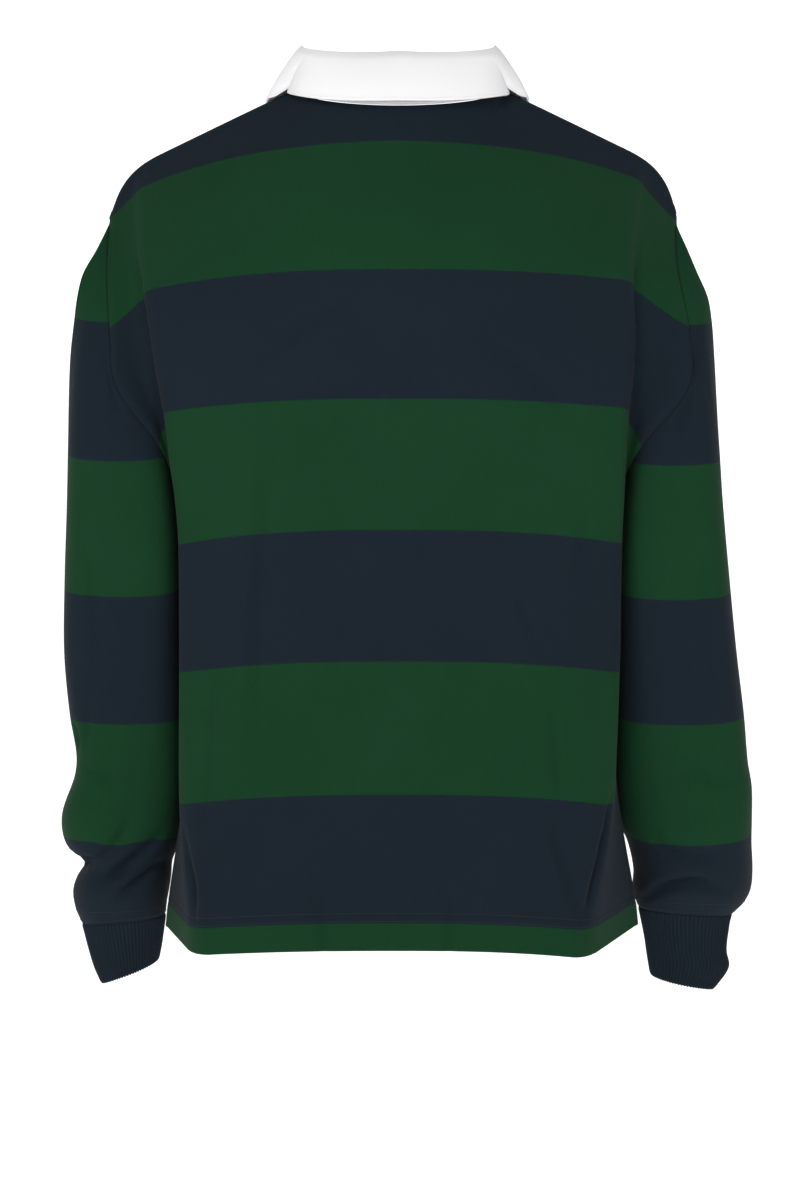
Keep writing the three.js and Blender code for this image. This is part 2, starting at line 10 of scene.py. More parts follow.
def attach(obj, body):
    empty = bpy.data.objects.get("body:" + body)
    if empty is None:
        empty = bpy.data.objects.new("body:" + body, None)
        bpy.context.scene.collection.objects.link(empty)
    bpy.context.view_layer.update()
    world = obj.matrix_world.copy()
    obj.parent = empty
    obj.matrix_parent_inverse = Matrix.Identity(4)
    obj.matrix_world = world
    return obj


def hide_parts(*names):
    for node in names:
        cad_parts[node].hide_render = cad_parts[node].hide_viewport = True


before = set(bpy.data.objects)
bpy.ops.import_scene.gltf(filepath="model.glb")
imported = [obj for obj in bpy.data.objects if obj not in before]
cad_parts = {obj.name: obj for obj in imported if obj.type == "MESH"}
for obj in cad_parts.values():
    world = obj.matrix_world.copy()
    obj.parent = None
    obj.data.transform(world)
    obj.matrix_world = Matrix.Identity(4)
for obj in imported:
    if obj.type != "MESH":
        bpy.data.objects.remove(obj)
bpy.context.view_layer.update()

# Jersey: back panel, front panel and two sleeves in heavy cotton jersey with knitted-in block stripes.
# Each is cut flat, sewn at shoulders, sides and armholes, and hangs from the shoulders in the shape
# that a body and two lowered arms give it. Levels are heights above the hem along the cut.
MM = 0.001
WALL = 1.6
NECK_LEVEL = {"back": 705, "front": 650}
NECK_SIDE_LEVEL = 735
SHOULDER_END_LEVEL = 682
UNDERARM_LEVEL = 385
TOP_LEVEL = {"back": 705, "front": 660}
HALF_WIDTH = 285
NECK_HALF_WIDTH = 88
NECK_SIDE = np.array([NECK_HALF_WIDTH, 18.0, 8.0])
NECK_CENTRE = {"back": (58, -11), "front": (-72, -66)}
SHOULDER_SLOPE, SHOULDER_TURN, SHOULDER_STRAIGHT = 25, 52, 0.6
SHOULDER_LENGTH = {"left": 203, "right": 191}
FOLD_COLUMN, NECK_COLUMN = 0.72, 0.279
FOLD_SHARE, NECK_SHARE = 0.8, 0.31
FOLD_SOFTNESS, HEM_SOFTNESS = 0.02, 0.05
HEM_REACH = (60, 250)
SLEEVE_BOXINESS, CUFF_BOXINESS = 0.42, 0.1
BOXINESS_REACH = (560, 690)
SIGN = {"left": 1, "right": -1}
FACING = {"back": 1, "front": -1}

CENTRE_ROWS = {  # level, y, z, bow
    "back": np.array([
        (0, 112, -716, 3.6), (21, 111, -693, 3.6), (129, 107, -587, 3.6), (237, 106, -477, 3.6),
        (345, 109, -368, 3.4), (385, 111, -328, 3.2), (415, 112, -298, 3.0), (453, 114, -260, 2.8),
        (507, 117, -206, 2.5), (561, 116, -153, 2.1), (615, 104, -98, 1.6), (669, 80, -43, 1.25),
    ]),
    "front": np.array([
        (0, -112, -704, 3.6), (21, -113, -683, 3.6), (129, -117, -578, 3.6), (237, -121, -470, 3.4),
        (345, -125, -362, 3.2), (385, -126, -321, 3.0), (415, -126, -291, 2.9), (453, -125, -253, 2.7),
        (507, -121, -199, 2.4), (561, -112, -146, 2.0), (615, -95, -93, 1.6),
    ]),
}
SIDE_ROWS = {  # level, fold line x y z, depth of the crease outside it, edge x y z, spread
    "left": np.array([
        (0, 170, 98, -721, 0, 199, 0, -703, 1), (21, 172, 96, -699, 0, 197, 0, -684, 1),
        (129, 184, 76, -597, 0, 182.5, 0, -583, 1), (237, 184, 72, -487, 0, 178, 0, -474, 1),
        (345, 184.5, 76, -380, 0, 179, 0, -367, 1), (385, 187, 80, -342, 2, 185.5, 0, -327, 1.2),
        (415, 191, 86, -310, 8, 190.5, 30, -322, 1.2), (453, 195, 88, -270, 15, 201, 58, -297, 1.2),
        (507, 203, 88, -219, 17, 236, 68, -248, 1.2), (561, 211, 80, -168, 12, 242.5, 62, -199, 1.2),
        (615, 217, 52, -124, 6, 246, 42, -148, 1.2), (669, 220, 18, -77, 2, 246, 8, -102, 1.1),
    ]),
    "right": np.array([
        (0, 156, 106, -723, 0, 205, 0, -702, 1), (21, 158, 104, -700, 0, 203, 0, -683, 1),
        (129, 179, 88, -597, 0, 186, 0, -583, 1), (237, 185.5, 74, -487, 0, 180, 0, -474, 1),
        (345, 187.5, 76, -379, 0, 181, 0, -367, 1), (385, 189, 82, -336, 2, 186, 0, -327, 1.2),
        (415, 190, 86, -307, 8, 191, 31, -322, 1.2), (453, 191, 88, -267, 15, 204, 60, -298, 1.2),
        (507, 195, 86, -213, 17, 243, 68, -248, 1.2), (561, 194, 80, -160, 12, 244, 62, -198, 1.2),
        (615, 197, 56, -112, 5, 236, 42, -148, 1.2), (669, 204, 24, -70, 1, 236, 8, -104, 1.1),
    ]),
}
SLEEVE_ROWS = {  # z, outer and inner reach, middle and half of the depth, lean, tilt
    "left": np.array([
        (-106, 243.5, 230, 0, 6, 0, 0), (-130, 254.5, 221, 0, 32, 0, 0), (-150, 265.5, 214, 0, 46, 0, 0),
        (-170, 270.5, 206, 0, 56, 0, 0), (-190, 273, 200, 0, 62, 0, 0), (-220, 276.5, 195, 0, 67, 0, 0),
        (-255, 278.5, 190, 0, 70, 0, 0), (-298, 280, 187, 0, 72, 0, 0), (-345, 281.5, 185, -6, 72, 0, 3),
        (-411, 284.5, 183.5, -18, 70, 0, 8), (-469, 285.5, 183.5, -27, 67, 0, 9),
        (-521, 281.5, 183.5, -36, 63, 0, 9), (-555, 276.5, 183.5, -42, 60, 0, 8),
        (-575, 278.5, 184, -45, 58, 0, 7), (-605.5, 289.5, 185.5, -49, 57, 0, 6),
        (-623, 290.5, 188, -52, 56, 0, 5), (-638, 285.5, 191, -54, 54, 0, 4),
        (-651.5, 271.5, 196, -56, 50, 0, 3), (-664, 278, 197, -57, 49, 0, 2),
        (-677, 282, 199, -59, 47, 0, 2), (-690, 280, 201, -60, 42, 2, 2),
        (-702, 274.5, 202, -61, 36, 4, 2), (-720, 269, 204, -63, 33, 7, 2),
        (-735, 264, 206, -65, 32, 9, 2), (-748, 258, 208.5, -67, 31, 10, 2),
    ]),
    "right": np.array([
        (-106, 234, 222, 0, 6, 0, 0), (-130, 244, 213, 0, 32, 0, 0), (-150, 252, 206, 0, 46, 0, 0),
        (-170, 260.5, 200, 0, 56, 0, 0), (-190, 264, 196, 0, 62, 0, 0), (-220, 266.5, 193, 0, 67, 0, 0),
        (-255, 269, 190.5, 0, 70, 0, 0), (-298, 272, 188, 0, 72, 0, 0), (-345, 275.5, 186, -6, 72, 0, 3),
        (-411, 282.5, 184.5, -18, 70, 0, 8), (-469, 289, 184.5, -27, 68, 0, 9),
        (-521, 296, 184.5, -36, 65, 0, 9), (-562, 300, 184.5, -42, 62, 0, 8),
        (-584, 304, 185.5, -46, 60, 0, 7), (-614.5, 305, 189, -50, 58, 0, 6),
        (-634, 305.2, 198, -53, 55, 0, 5), (-658, 306.5, 203.5, -56, 52, 0, 4),
        (-675, 305, 203, -58, 48, 1, 3), (-686, 299, 205, -60, 43, 2, 2),
        (-695, 289.5, 208, -61, 37, 3, 2), (-709, 286, 211, -62, 34, 4, 2),
        (-725, 284.5, 214, -64, 33, 5, 2), (-739, 286.5, 216, -66, 32, 5.5, 2),
        (-757, 274, 219, -68, 31, 6, 2),
    ]),
}
CUFF_SEAM_Z = {"left": -702, "right": -695}
FAN_END_Z = -450
SLEEVE_RADIUS, CUFF_RADIUS = 58, 33
SLIT_LEVEL, SLIT_COLUMNS = 507, 6
HEM_STITCH_LEVELS = (22.5, 29)
SEAM_GAP = 0.12
ARMHOLE_TURNS = np.array([
    (385, 180), (415, 152), (453, 124), (507, 74), (561, 46), (615, 25), (669, 6), (682, 0),
], float)
SLEEVE_TUCKS = {"left": (1.51, -612, 9), "right": (2.1, -606, 3)}  # turn, z, how far the stripe is pulled
TUCK_TURN, TUCK_HEIGHT = 0.17, 24
SLEEVE_STRIPES = {  # z at the outside of the sleeve, level of the same stripe on the body, drop at the back
    "left": np.array([
        (-106, 641, 6), (-184, 561, 9), (-298, 453, 12), (-411, 345, 4.5), (-521.5, 237, 1), (-627, 129, 1),
        (-750, 20, 0),
    ]),
    "right": np.array([
        (-106, 641, 3), (-191.5, 561, 4), (-305, 453, 8), (-413, 345, 5), (-518, 237, 5), (-620.5, 129, 10),
        (-757, 20, 0),
    ]),
}


def mix(a, b, t):
    return a + (b - a) * t


def smooth(x, low, high):
    t = np.clip((x - low) / (high - low), 0, 1)
    return t * t * (3 - 2 * t)


def through(keys, values, at):
    """Smooth values at places between rising keys."""
    slopes = np.empty_like(values)
    run = (keys[2:] - keys[:-2]).reshape(-1, *[1] * (values.ndim - 1))
    slopes[1:-1] = (values[2:] - values[:-2]) / run
    slopes[0] = (values[1] - values[0]) / (keys[1] - keys[0])
    slopes[-1] = (values[-1] - values[-2]) / (keys[-1] - keys[-2])
    at = np.clip(at, keys[0], keys[-1])
    i = np.clip(np.searchsorted(keys, at, side="right") - 1, 0, len(keys) - 2)
    more = (...,) + (None,) * (values.ndim - 1)
    step = (keys[i + 1] - keys[i])[more]
    t = (at - keys[i])[more] / step
    ends = (2 * t**3 - 3 * t**2 + 1) * values[i] + (3 * t**2 - 2 * t**3) * values[i + 1]
    return ends + ((t**3 - 2 * t**2 + t) * slopes[i] + (t**3 - t**2) * slopes[i + 1]) * step


def along(rows, at):
    """Smooth values of a table's later columns where its first column is at."""
    rows = rows if rows[0, 0] < rows[-1, 0] else rows[::-1]
    return through(rows[:, 0], rows[:, 1:], np.asarray(at, float))


def unit(vectors):
    return vectors / np.maximum(np.linalg.norm(vectors, axis=-1, keepdims=True), 1e-9)


def cut_share(column):
    outer = mix(FOLD_SHARE, 1, (column - FOLD_COLUMN) / (1 - FOLD_COLUMN))
    return np.where(column <= FOLD_COLUMN, column / FOLD_COLUMN * FOLD_SHARE, outer)


def shoulder_points(side, share):
    """The shoulder seam: straight down its slope from the neck, then turning down over the arm."""
    steps = 40
    at = share[:, None] * (np.arange(steps) + 0.5) / steps
    angle = np.radians(SHOULDER_SLOPE + SHOULDER_TURN * smooth(at, SHOULDER_STRAIGHT, 1))
    run = SHOULDER_LENGTH[side] * share[:, None] / steps
    x = NECK_SIDE[0] + (np.cos(angle) * run).sum(1)
    z = NECK_SIDE[2] - (np.sin(angle) * run).sum(1)
    return np.stack([x, NECK_SIDE[1] * (1 - smooth(share, 0, 1)), z], 1)


def top_points(panel, side, column):
    """Top edge of a panel: the neckline as a quarter turn, then the shoulder seam."""
    angle = np.minimum(column / NECK_COLUMN, 1) * math.pi / 2
    rise = 1 - np.cos(angle)
    y, z = NECK_CENTRE[panel]
    neck = [NECK_HALF_WIDTH * np.sin(angle), mix(y, NECK_SIDE[1], rise), mix(z, NECK_SIDE[2], rise)]
    share = np.clip((cut_share(column) - NECK_SHARE) / (1 - NECK_SHARE), 0, 1)
    return np.where(column[:, None] <= NECK_COLUMN, np.stack(neck, 1), shoulder_points(side, share))


def top_levels(panel, column):
    rise = 1 - np.cos(np.minimum(column / NECK_COLUMN, 1) * math.pi / 2)
    neck = mix(NECK_LEVEL[panel], NECK_SIDE_LEVEL, rise)
    share = np.clip((cut_share(column) - NECK_SHARE) / (1 - NECK_SHARE), 0, 1)
    return np.where(column <= NECK_COLUMN, neck, mix(NECK_SIDE_LEVEL, SHOULDER_END_LEVEL, share))


def cut_levels(panel, column, level):
    """True heights in the cut, for rows of levels and columns of columns."""
    last = CENTRE_ROWS[panel][-1, 0]
    part = (level[:, None] - last) / (TOP_LEVEL[panel] - last)
    return np.where(level[:, None] <= last, level[:, None], mix(last, top_levels(panel, column), part))


def edge_points(panel, side, level):
    """The side seam below the underarm and the armhole above it."""
    rows = SIDE_ROWS[side][:, [0, 5, 6, 7]]
    seam = along(rows[rows[:, 0] <= UNDERARM_LEVEL], level) * (1, 0, 1)
    loop = rows[rows[:, 0] >= UNDERARM_LEVEL]
    before = loop[1] * (1, 1, -1, 1)
    before[0] = 2 * UNDERARM_LEVEL - loop[1, 0]
    end = [SHOULDER_END_LEVEL, *shoulder_points(side, np.ones(1))[0]]
    armhole = along(np.vstack([before, loop, end]), level) * (1, FACING[panel], 1)
    return np.where(level[:, None] <= UNDERARM_LEVEL, seam, armhole)


def rough_points(panel, side, column, level):
    """A panel before its edge is set and its fold line softened: rows of levels, columns of columns."""
    mid_level, y, z, bow = CENTRE_ROWS[panel].T[:, :, None]
    side_rows = SIDE_ROWS[side][: len(mid_level)].T[:, :, None]
    _, fold_x, fold_y, fold_z, dip, edge_x, edge_y, edge_z, spread = side_rows
    facing = FACING[panel]
    t = np.clip(column / FOLD_COLUMN, 0, 1)
    f = np.clip((column - FOLD_COLUMN) / (1 - FOLD_COLUMN), 0, 1)
    crease = dip * smooth(f, 0, 0.2) * (1 - smooth(f, 0.4, 1))
    inner = [fold_x * t, mix(y, facing * fold_y, t**bow), mix(z, fold_z, t**2.6)]
    outer = [
        mix(fold_x, edge_x, f**spread),
        facing * (mix(fold_y, edge_y, f) - crease),
        mix(fold_z, edge_z, f),
    ]
    sections = np.where((column <= FOLD_COLUMN)[:, None], np.stack(inner, -1), np.stack(outer, -1))
    stops = np.append(mid_level, TOP_LEVEL[panel])
    return through(stops, np.concatenate([sections, top_points(panel, side, column)[None]]), level)


def body_points(panel, side, column, level):
    soft = []
    for softness in (HEM_SOFTNESS, FOLD_SOFTNESS):
        reach = softness * np.minimum(1, (1 - column) / softness)
        points = 0
        for tap in (-1, -0.5, 0, 0.5, 1):
            place = column + tap * reach
            part = rough_points(panel, side, np.abs(place), level)
            part[..., 0] *= np.where(place < 0, -1, 1)
            points = points + part / 5
        soft.append(points)
    points = mix(*soft, smooth(level, *HEM_REACH)[:, None, None])
    top = smooth(level, TOP_LEVEL[panel] - 12, TOP_LEVEL[panel])[:, None, None]
    points = mix(points, rough_points(panel, side, column, level), top)
    one = np.ones(1)
    edge = edge_points(panel, side, cut_levels(panel, one, level)[:, 0])
    pull = edge - rough_points(panel, side, one, level)[:, 0]
    points = points + pull[:, None] * smooth(column, FOLD_COLUMN, 1)[:, None]
    return points * (SIGN[side], 1, 1)


def panel_points(panel, columns, levels):
    right = body_points(panel, "right", -columns[columns < 0], levels)
    return np.concatenate([right, body_points(panel, "left", columns[columns >= 0], levels)], 1)


def tube_points(side, z, turn):
    outer, inner, middle_y, half_depth, lean, tilt = np.moveaxis(along(SLEEVE_ROWS[side], z), -1, 0)
    c, s = np.cos(turn), np.sin(turn)
    boxiness = mix(SLEEVE_BOXINESS, CUFF_BOXINESS, smooth(-z, *BOXINESS_REACH))
    x = (outer + inner) / 2 + (outer - inner) / 2 * c * (1 + boxiness * s**2)
    y = middle_y + half_depth * s * (1 + boxiness * c**2)
    return np.stack([SIGN[side] * x, y, z - lean * c - tilt * s], -1)


def spaced(*runs):
    """Places from runs of (start, end, count), each without its end, closed by the last end."""
    parts = [np.linspace(a, b, n, endpoint=False) for a, b, n in runs]
    return np.concatenate([*parts, [runs[-1][1]]])


half_columns = spaced((0, 0.7, 66), (0.7, 0.76, 12), (0.76, 0.965, 24), (0.965, 1, 8))
columns = np.concatenate([-half_columns[:0:-1], half_columns])
hem_levels = np.array([0, 1.5, 3, 5, 8, 11, 14, 17, 19, 21, 22.5, 24, 26, 27.5, 29, 30.5, 32.5])
lower_levels = np.concatenate([hem_levels, spaced((36, UNDERARM_LEVEL, 96))])
armhole_levels = spaced((UNDERARM_LEVEL, 453, 20), (453, 520, 22), (520, 615, 24))[1:]
upper_levels = {
    "back": spaced((615, 695, 20), (695, 705, 6))[1:],
    "front": spaced((615, 651, 14), (651, 660, 8))[1:],
}
levels = {p: np.concatenate([lower_levels, armhole_levels, upper_levels[p]]) for p in ("back", "front")}
turns = {}
for panel in ("back", "front"):
    edge_levels = cut_levels(panel, np.ones(1), levels[panel][len(lower_levels):])[:, 0]
    turns[panel] = np.radians(along(ARMHOLE_TURNS, edge_levels)[:, 0])
ring_turns = np.concatenate([[math.pi], turns["back"], -turns["front"][-2::-1]])

points, cut = {}, {}
for panel in ("back", "front"):
    name = f"{panel}_panel"
    points[name] = panel_points(panel, columns, levels[panel])
    across = np.sign(columns) * cut_share(np.abs(columns)) * HALF_WIDTH
    up = cut_levels(panel, np.abs(columns), levels[panel])
    cut[name] = np.stack([np.broadcast_to(across, up.shape), up], -1)

FAN_SHARES = np.concatenate([[0, 0.004, 0.008, 0.013, 0.019, 0.027, 0.037], spaced((0.05, 1, 76))])
for side in ("left", "right"):
    edge = -1 if side == "left" else 0
    first = len(lower_levels) - 1
    back, front = (points[f"{p}_panel"][first:, edge] for p in ("back", "front"))
    ring = np.concatenate([back, front[-2:0:-1]])
    outer, inner, middle_y, half_depth, _, _ = along(SLEEVE_ROWS[side], ring[:, 2]).T
    start = np.arctan2(
        (ring[:, 1] - middle_y) / half_depth,
        (ring[:, 0] * SIGN[side] - (outer + inner) / 2) / ((outer - inner) / 2),
    )
    start = ring_turns + np.remainder(start - ring_turns + math.pi, 2 * math.pi) - math.pi
    shift = ring - tube_points(side, ring[:, 2], start)
    g = FAN_SHARES[:, None]
    turn = mix(start, ring_turns, 1 - (1 - np.minimum(1, g / 0.8)) ** 2)
    fan_z = mix(ring[:, 2], FAN_END_Z, g)
    fan = tube_points(side, fan_z, turn) + shift * ((1 - g) ** 3)[..., None]
    gather_z = CUFF_SEAM_Z[side] + 12
    tube_z = spaced((FAN_END_Z, gather_z, 56), (gather_z, CUFF_SEAM_Z[side], 8))[1:]
    tube_z = np.broadcast_to(tube_z[:, None], (len(tube_z), len(ring)))
    tube_turn = np.broadcast_to(ring_turns, tube_z.shape)
    name = f"sleeve_{side}"
    points[name] = np.concatenate([fan, tube_points(side, tube_z, tube_turn)])
    z, turn = np.concatenate([fan_z, tube_z]), np.concatenate([turn, tube_turn])
    drop = along(SLEEVE_STRIPES[side], z)[..., 1]
    stripe = along(SLEEVE_STRIPES[side], z + drop * np.sin(turn))[..., 0]
    tuck_turn, tuck_z, tuck_pull = SLEEVE_TUCKS[side]
    from_tuck = ((turn - tuck_turn) / TUCK_TURN) ** 2 + ((z - tuck_z) / TUCK_HEIGHT) ** 2
    stripe = stripe + tuck_pull * np.exp(-from_tuck)
    turn = np.concatenate([turn, np.full((len(turn), 1), -math.pi)], 1)
    stripe = np.concatenate([stripe, stripe[:, :1]], 1)
    cut[name] = np.stack([turn * SLEEVE_RADIUS, stripe], -1)


def grid_quads(rows, columns, wrap=False, flip=False, keep=None):
    """Quads of a grid and, for each corner, its place in the table of cut places."""
    i, j = np.meshgrid(np.arange(rows - 1), np.arange(columns if wrap else columns - 1), indexing="ij")
    if keep is not None:
        kept = keep(i, j)
        i, j = i[kept], j[kept]
    i, j = i.ravel(), j.ravel()
    a, b = i * columns + j, i * columns + (j + 1) % columns
    wide = columns + 1 if wrap else columns
    c, d = i * wide + j, i * wide + j + 1
    quads = np.stack([a, b, b + columns, a + columns], 1)
    places = np.stack([c, d, d + wide, c + wide], 1)
    return (quads[:, ::-1], places[:, ::-1]) if flip else (quads, places)


def corner_normals(co, quads):
    across = co[quads[:, 2]] - co[quads[:, 0]]
    up = co[quads[:, 3]] - co[quads[:, 1]]
    faces = np.cross(across, up)
    total = np.zeros_like(co)
    for corner in range(4):
        np.add.at(total, quads[:, corner], faces)
    return total


def rim_edges(quads, places):
    """Directed edges of the quads that no other quad shares, with their cut places."""
    ends = np.concatenate([np.stack([quads[:, k], quads[:, (k + 1) % 4]], 1) for k in range(4)])
    spots = np.concatenate([np.stack([places[:, k], places[:, (k + 1) % 4]], 1) for k in range(4)])
    size = quads.max() + 1
    lone = ~np.isin(ends[:, 0] * size + ends[:, 1], ends[:, 1] * size + ends[:, 0])
    return ends[lone], spots[lone], ends


def trimmed(co, quads, places, trim):
    """The points with each free edge drawn back a little, for the gap at a seam."""
    rim, _, ends = rim_edges(quads, places)
    on_rim = np.zeros(len(co), bool)
    on_rim[rim.ravel()] = True
    size = len(co)
    rim_codes = np.concatenate([rim[:, 0] * size + rim[:, 1], rim[:, 1] * size + rim[:, 0]])
    both = np.concatenate([ends, ends[:, ::-1]])
    inner = both[on_rim[both[:, 0]] & ~np.isin(both[:, 0] * size + both[:, 1], rim_codes)]
    pull = np.zeros_like(co)
    np.add.at(pull, inner[:, 0], unit(co[inner[:, 1]] - co[inner[:, 0]]))
    run = np.zeros_like(co)
    np.add.at(run, rim[:, 0], co[rim[:, 1]])
    np.add.at(run, rim[:, 1], -co[rim[:, 0]])
    run = unit(run)
    pull -= run * (pull * run).sum(1, keepdims=True)
    lonely = on_rim & (np.linalg.norm(pull, axis=1) < 1e-6)
    corner = np.zeros_like(co)
    np.add.at(corner, rim[:, 0], unit(co[rim[:, 1]] - co[rim[:, 0]]))
    np.add.at(corner, rim[:, 1], unit(co[rim[:, 0]] - co[rim[:, 1]]))
    pull[lonely] = corner[lonely]
    return co + unit(pull) * on_rim[:, None] * trim


def shell(name, co, out, quads, places, cut_places, wall, material):
    """A closed piece of cloth: outer face, inner face and a strip along each free edge."""
    rim, spots, _ = rim_edges(quads, places)
    count = len(co)
    inner = co - out * wall
    used = np.zeros(count, bool)
    used[quads.ravel()] = True
    index = np.cumsum(used) - 1
    total = int(used.sum())
    strip = np.stack([rim[:, 0], rim[:, 0] + count, rim[:, 1] + count, rim[:, 1]], 1)
    faces = np.concatenate([quads, quads[:, ::-1] + count, strip])
    spot = np.concatenate([places, places[:, ::-1], spots[:, [0, 0, 1, 1]]])
    faces = index[faces % count] + total * (faces >= count)
    mesh = bpy.data.meshes.new(name)
    vertices = np.concatenate([co[used], inner[used]]) * MM
    mesh.from_pydata(vertices.tolist(), [], faces.tolist())
    uv = mesh.uv_layers.new(name="cut")
    uv.data.foreach_set("uv", (cut_places.reshape(-1, 2)[spot.ravel()] * MM).astype(np.float32).ravel())
    mesh.shade_smooth()
    piece = bpy.data.objects.new(name, mesh)
    bpy.context.scene.collection.objects.link(piece)
    mesh.materials.append(material)
    return piece


def painter(name):
    """A new node material with short ways to add a node and a sum to its tree."""
    material = bpy.data.materials.new(name)
    material.use_nodes = True
    tree = material.node_tree
    tree.nodes.clear()

    def node(kind, inputs=None, **values):
        made = tree.nodes.new(kind)
        for key, value in values.items():
            setattr(made, key, value)
        for key, value in (inputs or {}).items():
            if isinstance(value, bpy.types.NodeSocket):
                tree.links.new(value, made.inputs[key])
            else:
                made.inputs[key].default_value = value
        return made

    def maths(operation, *inputs):
        return node("ShaderNodeMath", dict(enumerate(inputs)), operation=operation).outputs[0]

    return material, node, maths


def knit_height(maths, across, up, wale, course):
    """Rows of small V stitches, in columns with a groove between them."""
    side = maths("ABSOLUTE", maths("SUBTRACT", maths("FRACT", maths("DIVIDE", across, wale)), 0.5))
    rows = maths("MULTIPLY_ADD", side, 1.1, maths("DIVIDE", up, course))
    loops = maths("COSINE", maths("MULTIPLY", rows, 2 * math.pi))
    groove = maths("SMOOTH_MIN", maths("MULTIPLY", maths("SUBTRACT", 0.5, side), 5), 1, 0.5)
    return maths("MULTIPLY_ADD", loops, 0.35, groove)


def matte(node, colour, height, depth, rough=0.88, sheen=0.03, specular=0.08):
    """A matt cloth surface with the given colour, raised by height."""
    normal = node("ShaderNodeBump", {"Height": height, "Distance": depth, "Strength": 0.7}).outputs[0]
    values = {
        "Base Color": colour, "Normal": normal, "Roughness": rough, "Specular IOR Level": specular,
        "Sheen Weight": sheen, "Sheen Roughness": 0.4,
    }
    surface = node("ShaderNodeBsdfPrincipled", values).outputs[0]
    node("ShaderNodeOutputMaterial", {"Surface": surface})


NAVY = (0.0083, 0.0148, 0.0221, 1)
GREEN = (0.0064, 0.0396, 0.0148, 1)
FIRST_STRIPE, STRIPE_DEPTH, LAST_STRIPE = 0.021, 0.108, 0.669  # metres along the cut


def uneven(node, maths, colour, place, amount=0.16):
    """Dye and fibres that vary a little: broad faded patches and a fine fleck."""
    broad = node("ShaderNodeTexNoise", {"Vector": place, "Scale": 9, "Detail": 3}).outputs["Fac"]
    fleck = node("ShaderNodeTexNoise", {"Vector": place, "Scale": 620, "Detail": 2}).outputs["Fac"]
    both = maths("ADD", maths("MULTIPLY", broad, 0.55), maths("MULTIPLY", fleck, 0.45))
    value = maths("MULTIPLY_ADD", maths("SUBTRACT", both, 0.5), amount * 2.4, 1)
    return node("ShaderNodeHueSaturation", {"Color": colour, "Value": value}).outputs[0]


def jersey_material():
    """Heavy plain-knit cotton with green and navy stripes knitted in, the top one navy to the neck."""
    material, node, maths = painter("striped_jersey")
    place = node("ShaderNodeUVMap", uv_map="cut").outputs[0]
    split = node("ShaderNodeSeparateXYZ", {0: place})
    across, level = split.outputs[0], split.outputs[1]
    fine = node("ShaderNodeTexNoise", {"Vector": place, "Scale": 800}).outputs["Fac"]
    ragged = maths("MULTIPLY_ADD", maths("SUBTRACT", fine, 0.5), 0.0014, level)
    stripes_up = maths("DIVIDE", maths("SUBTRACT", ragged, FIRST_STRIPE), STRIPE_DEPTH)
    band = maths("MODULO", maths("ADD", stripes_up, 2), 2)
    is_green = maths("MULTIPLY", maths("GREATER_THAN", band, 1), maths("LESS_THAN", ragged, LAST_STRIPE))
    mixed = node("ShaderNodeMix", {"Factor": is_green, "A": NAVY, "B": GREEN}, data_type="RGBA")
    colour = uneven(node, maths, mixed.outputs["Result"], place)
    height = knit_height(maths, across, level, 0.0013, 0.0011)
    drawn = node("ShaderNodeMapping", {"Vector": place, "Scale": (260, 7, 1)}).outputs[0]
    streaks = node("ShaderNodeTexNoise", {"Vector": drawn, "Scale": 1, "Detail": 2}).outputs["Fac"]
    height = maths("MULTIPLY_ADD", streaks, 1.4, height)
    matte(node, colour, height, 0.00022)
    return material


jersey = jersey_material()


def outside_slit(i, j):
    """All quads but those of the placket's slit."""
    middle = len(columns) // 2
    beside = (j < middle - SLIT_COLUMNS) | (j >= middle + SLIT_COLUMNS)
    return (levels["front"][i] < SLIT_LEVEL) | beside


sheets = {
    "back_panel": dict(flip=True),
    "front_panel": dict(keep=outside_slit),
    "sleeve_left": dict(wrap=True),
    "sleeve_right": dict(wrap=True, flip=True),
}
faces = {}
for name, options in sheets.items():
    rows, count = points[name].shape[:2]
    faces[name] = grid_quads(rows, count, **options)


def shared_normals():
    """Normals of all jersey points, one for each place that two pieces share."""
    names = list(sheets)
    co = np.concatenate([points[n].reshape(-1, 3) for n in names])
    own = np.concatenate([corner_normals(points[n].reshape(-1, 3), faces[n][0]) for n in names])
    _, place = np.unique(np.round(co, 2), axis=0, return_inverse=True)
    place = place.ravel()
    total = np.zeros((place.max() + 1, 3))
    np.add.at(total, place, own)
    shared = unit(total[place])
    splits = np.cumsum([points[n].shape[0] * points[n].shape[1] for n in names])[:-1]
    return dict(zip(names, np.split(shared, splits)))


normals = shared_normals()
ring_levels = np.concatenate([levels["back"][first:], levels["front"][-2:first:-1]])
DOWNWARD_ROWS = [  # level, how much the wall at the underarm faces down
    (384, 0), (385, 1), (415, 0.85), (434, 0.7), (453, 0.4), (480, 0),
]
for name in sheets:
    share = np.zeros(points[name].shape[:2])
    if name.startswith("sleeve"):
        share[0] = np.interp(ring_levels, *zip(*DOWNWARD_ROWS))
    else:
        share[:, 0] = share[:, -1] = np.interp(levels[name[:-6]], *zip(*DOWNWARD_ROWS))
    share = share.reshape(-1, 1)
    normals[name] = unit(normals[name] * (1 - share) + np.array([0, 0, -1]) * share)

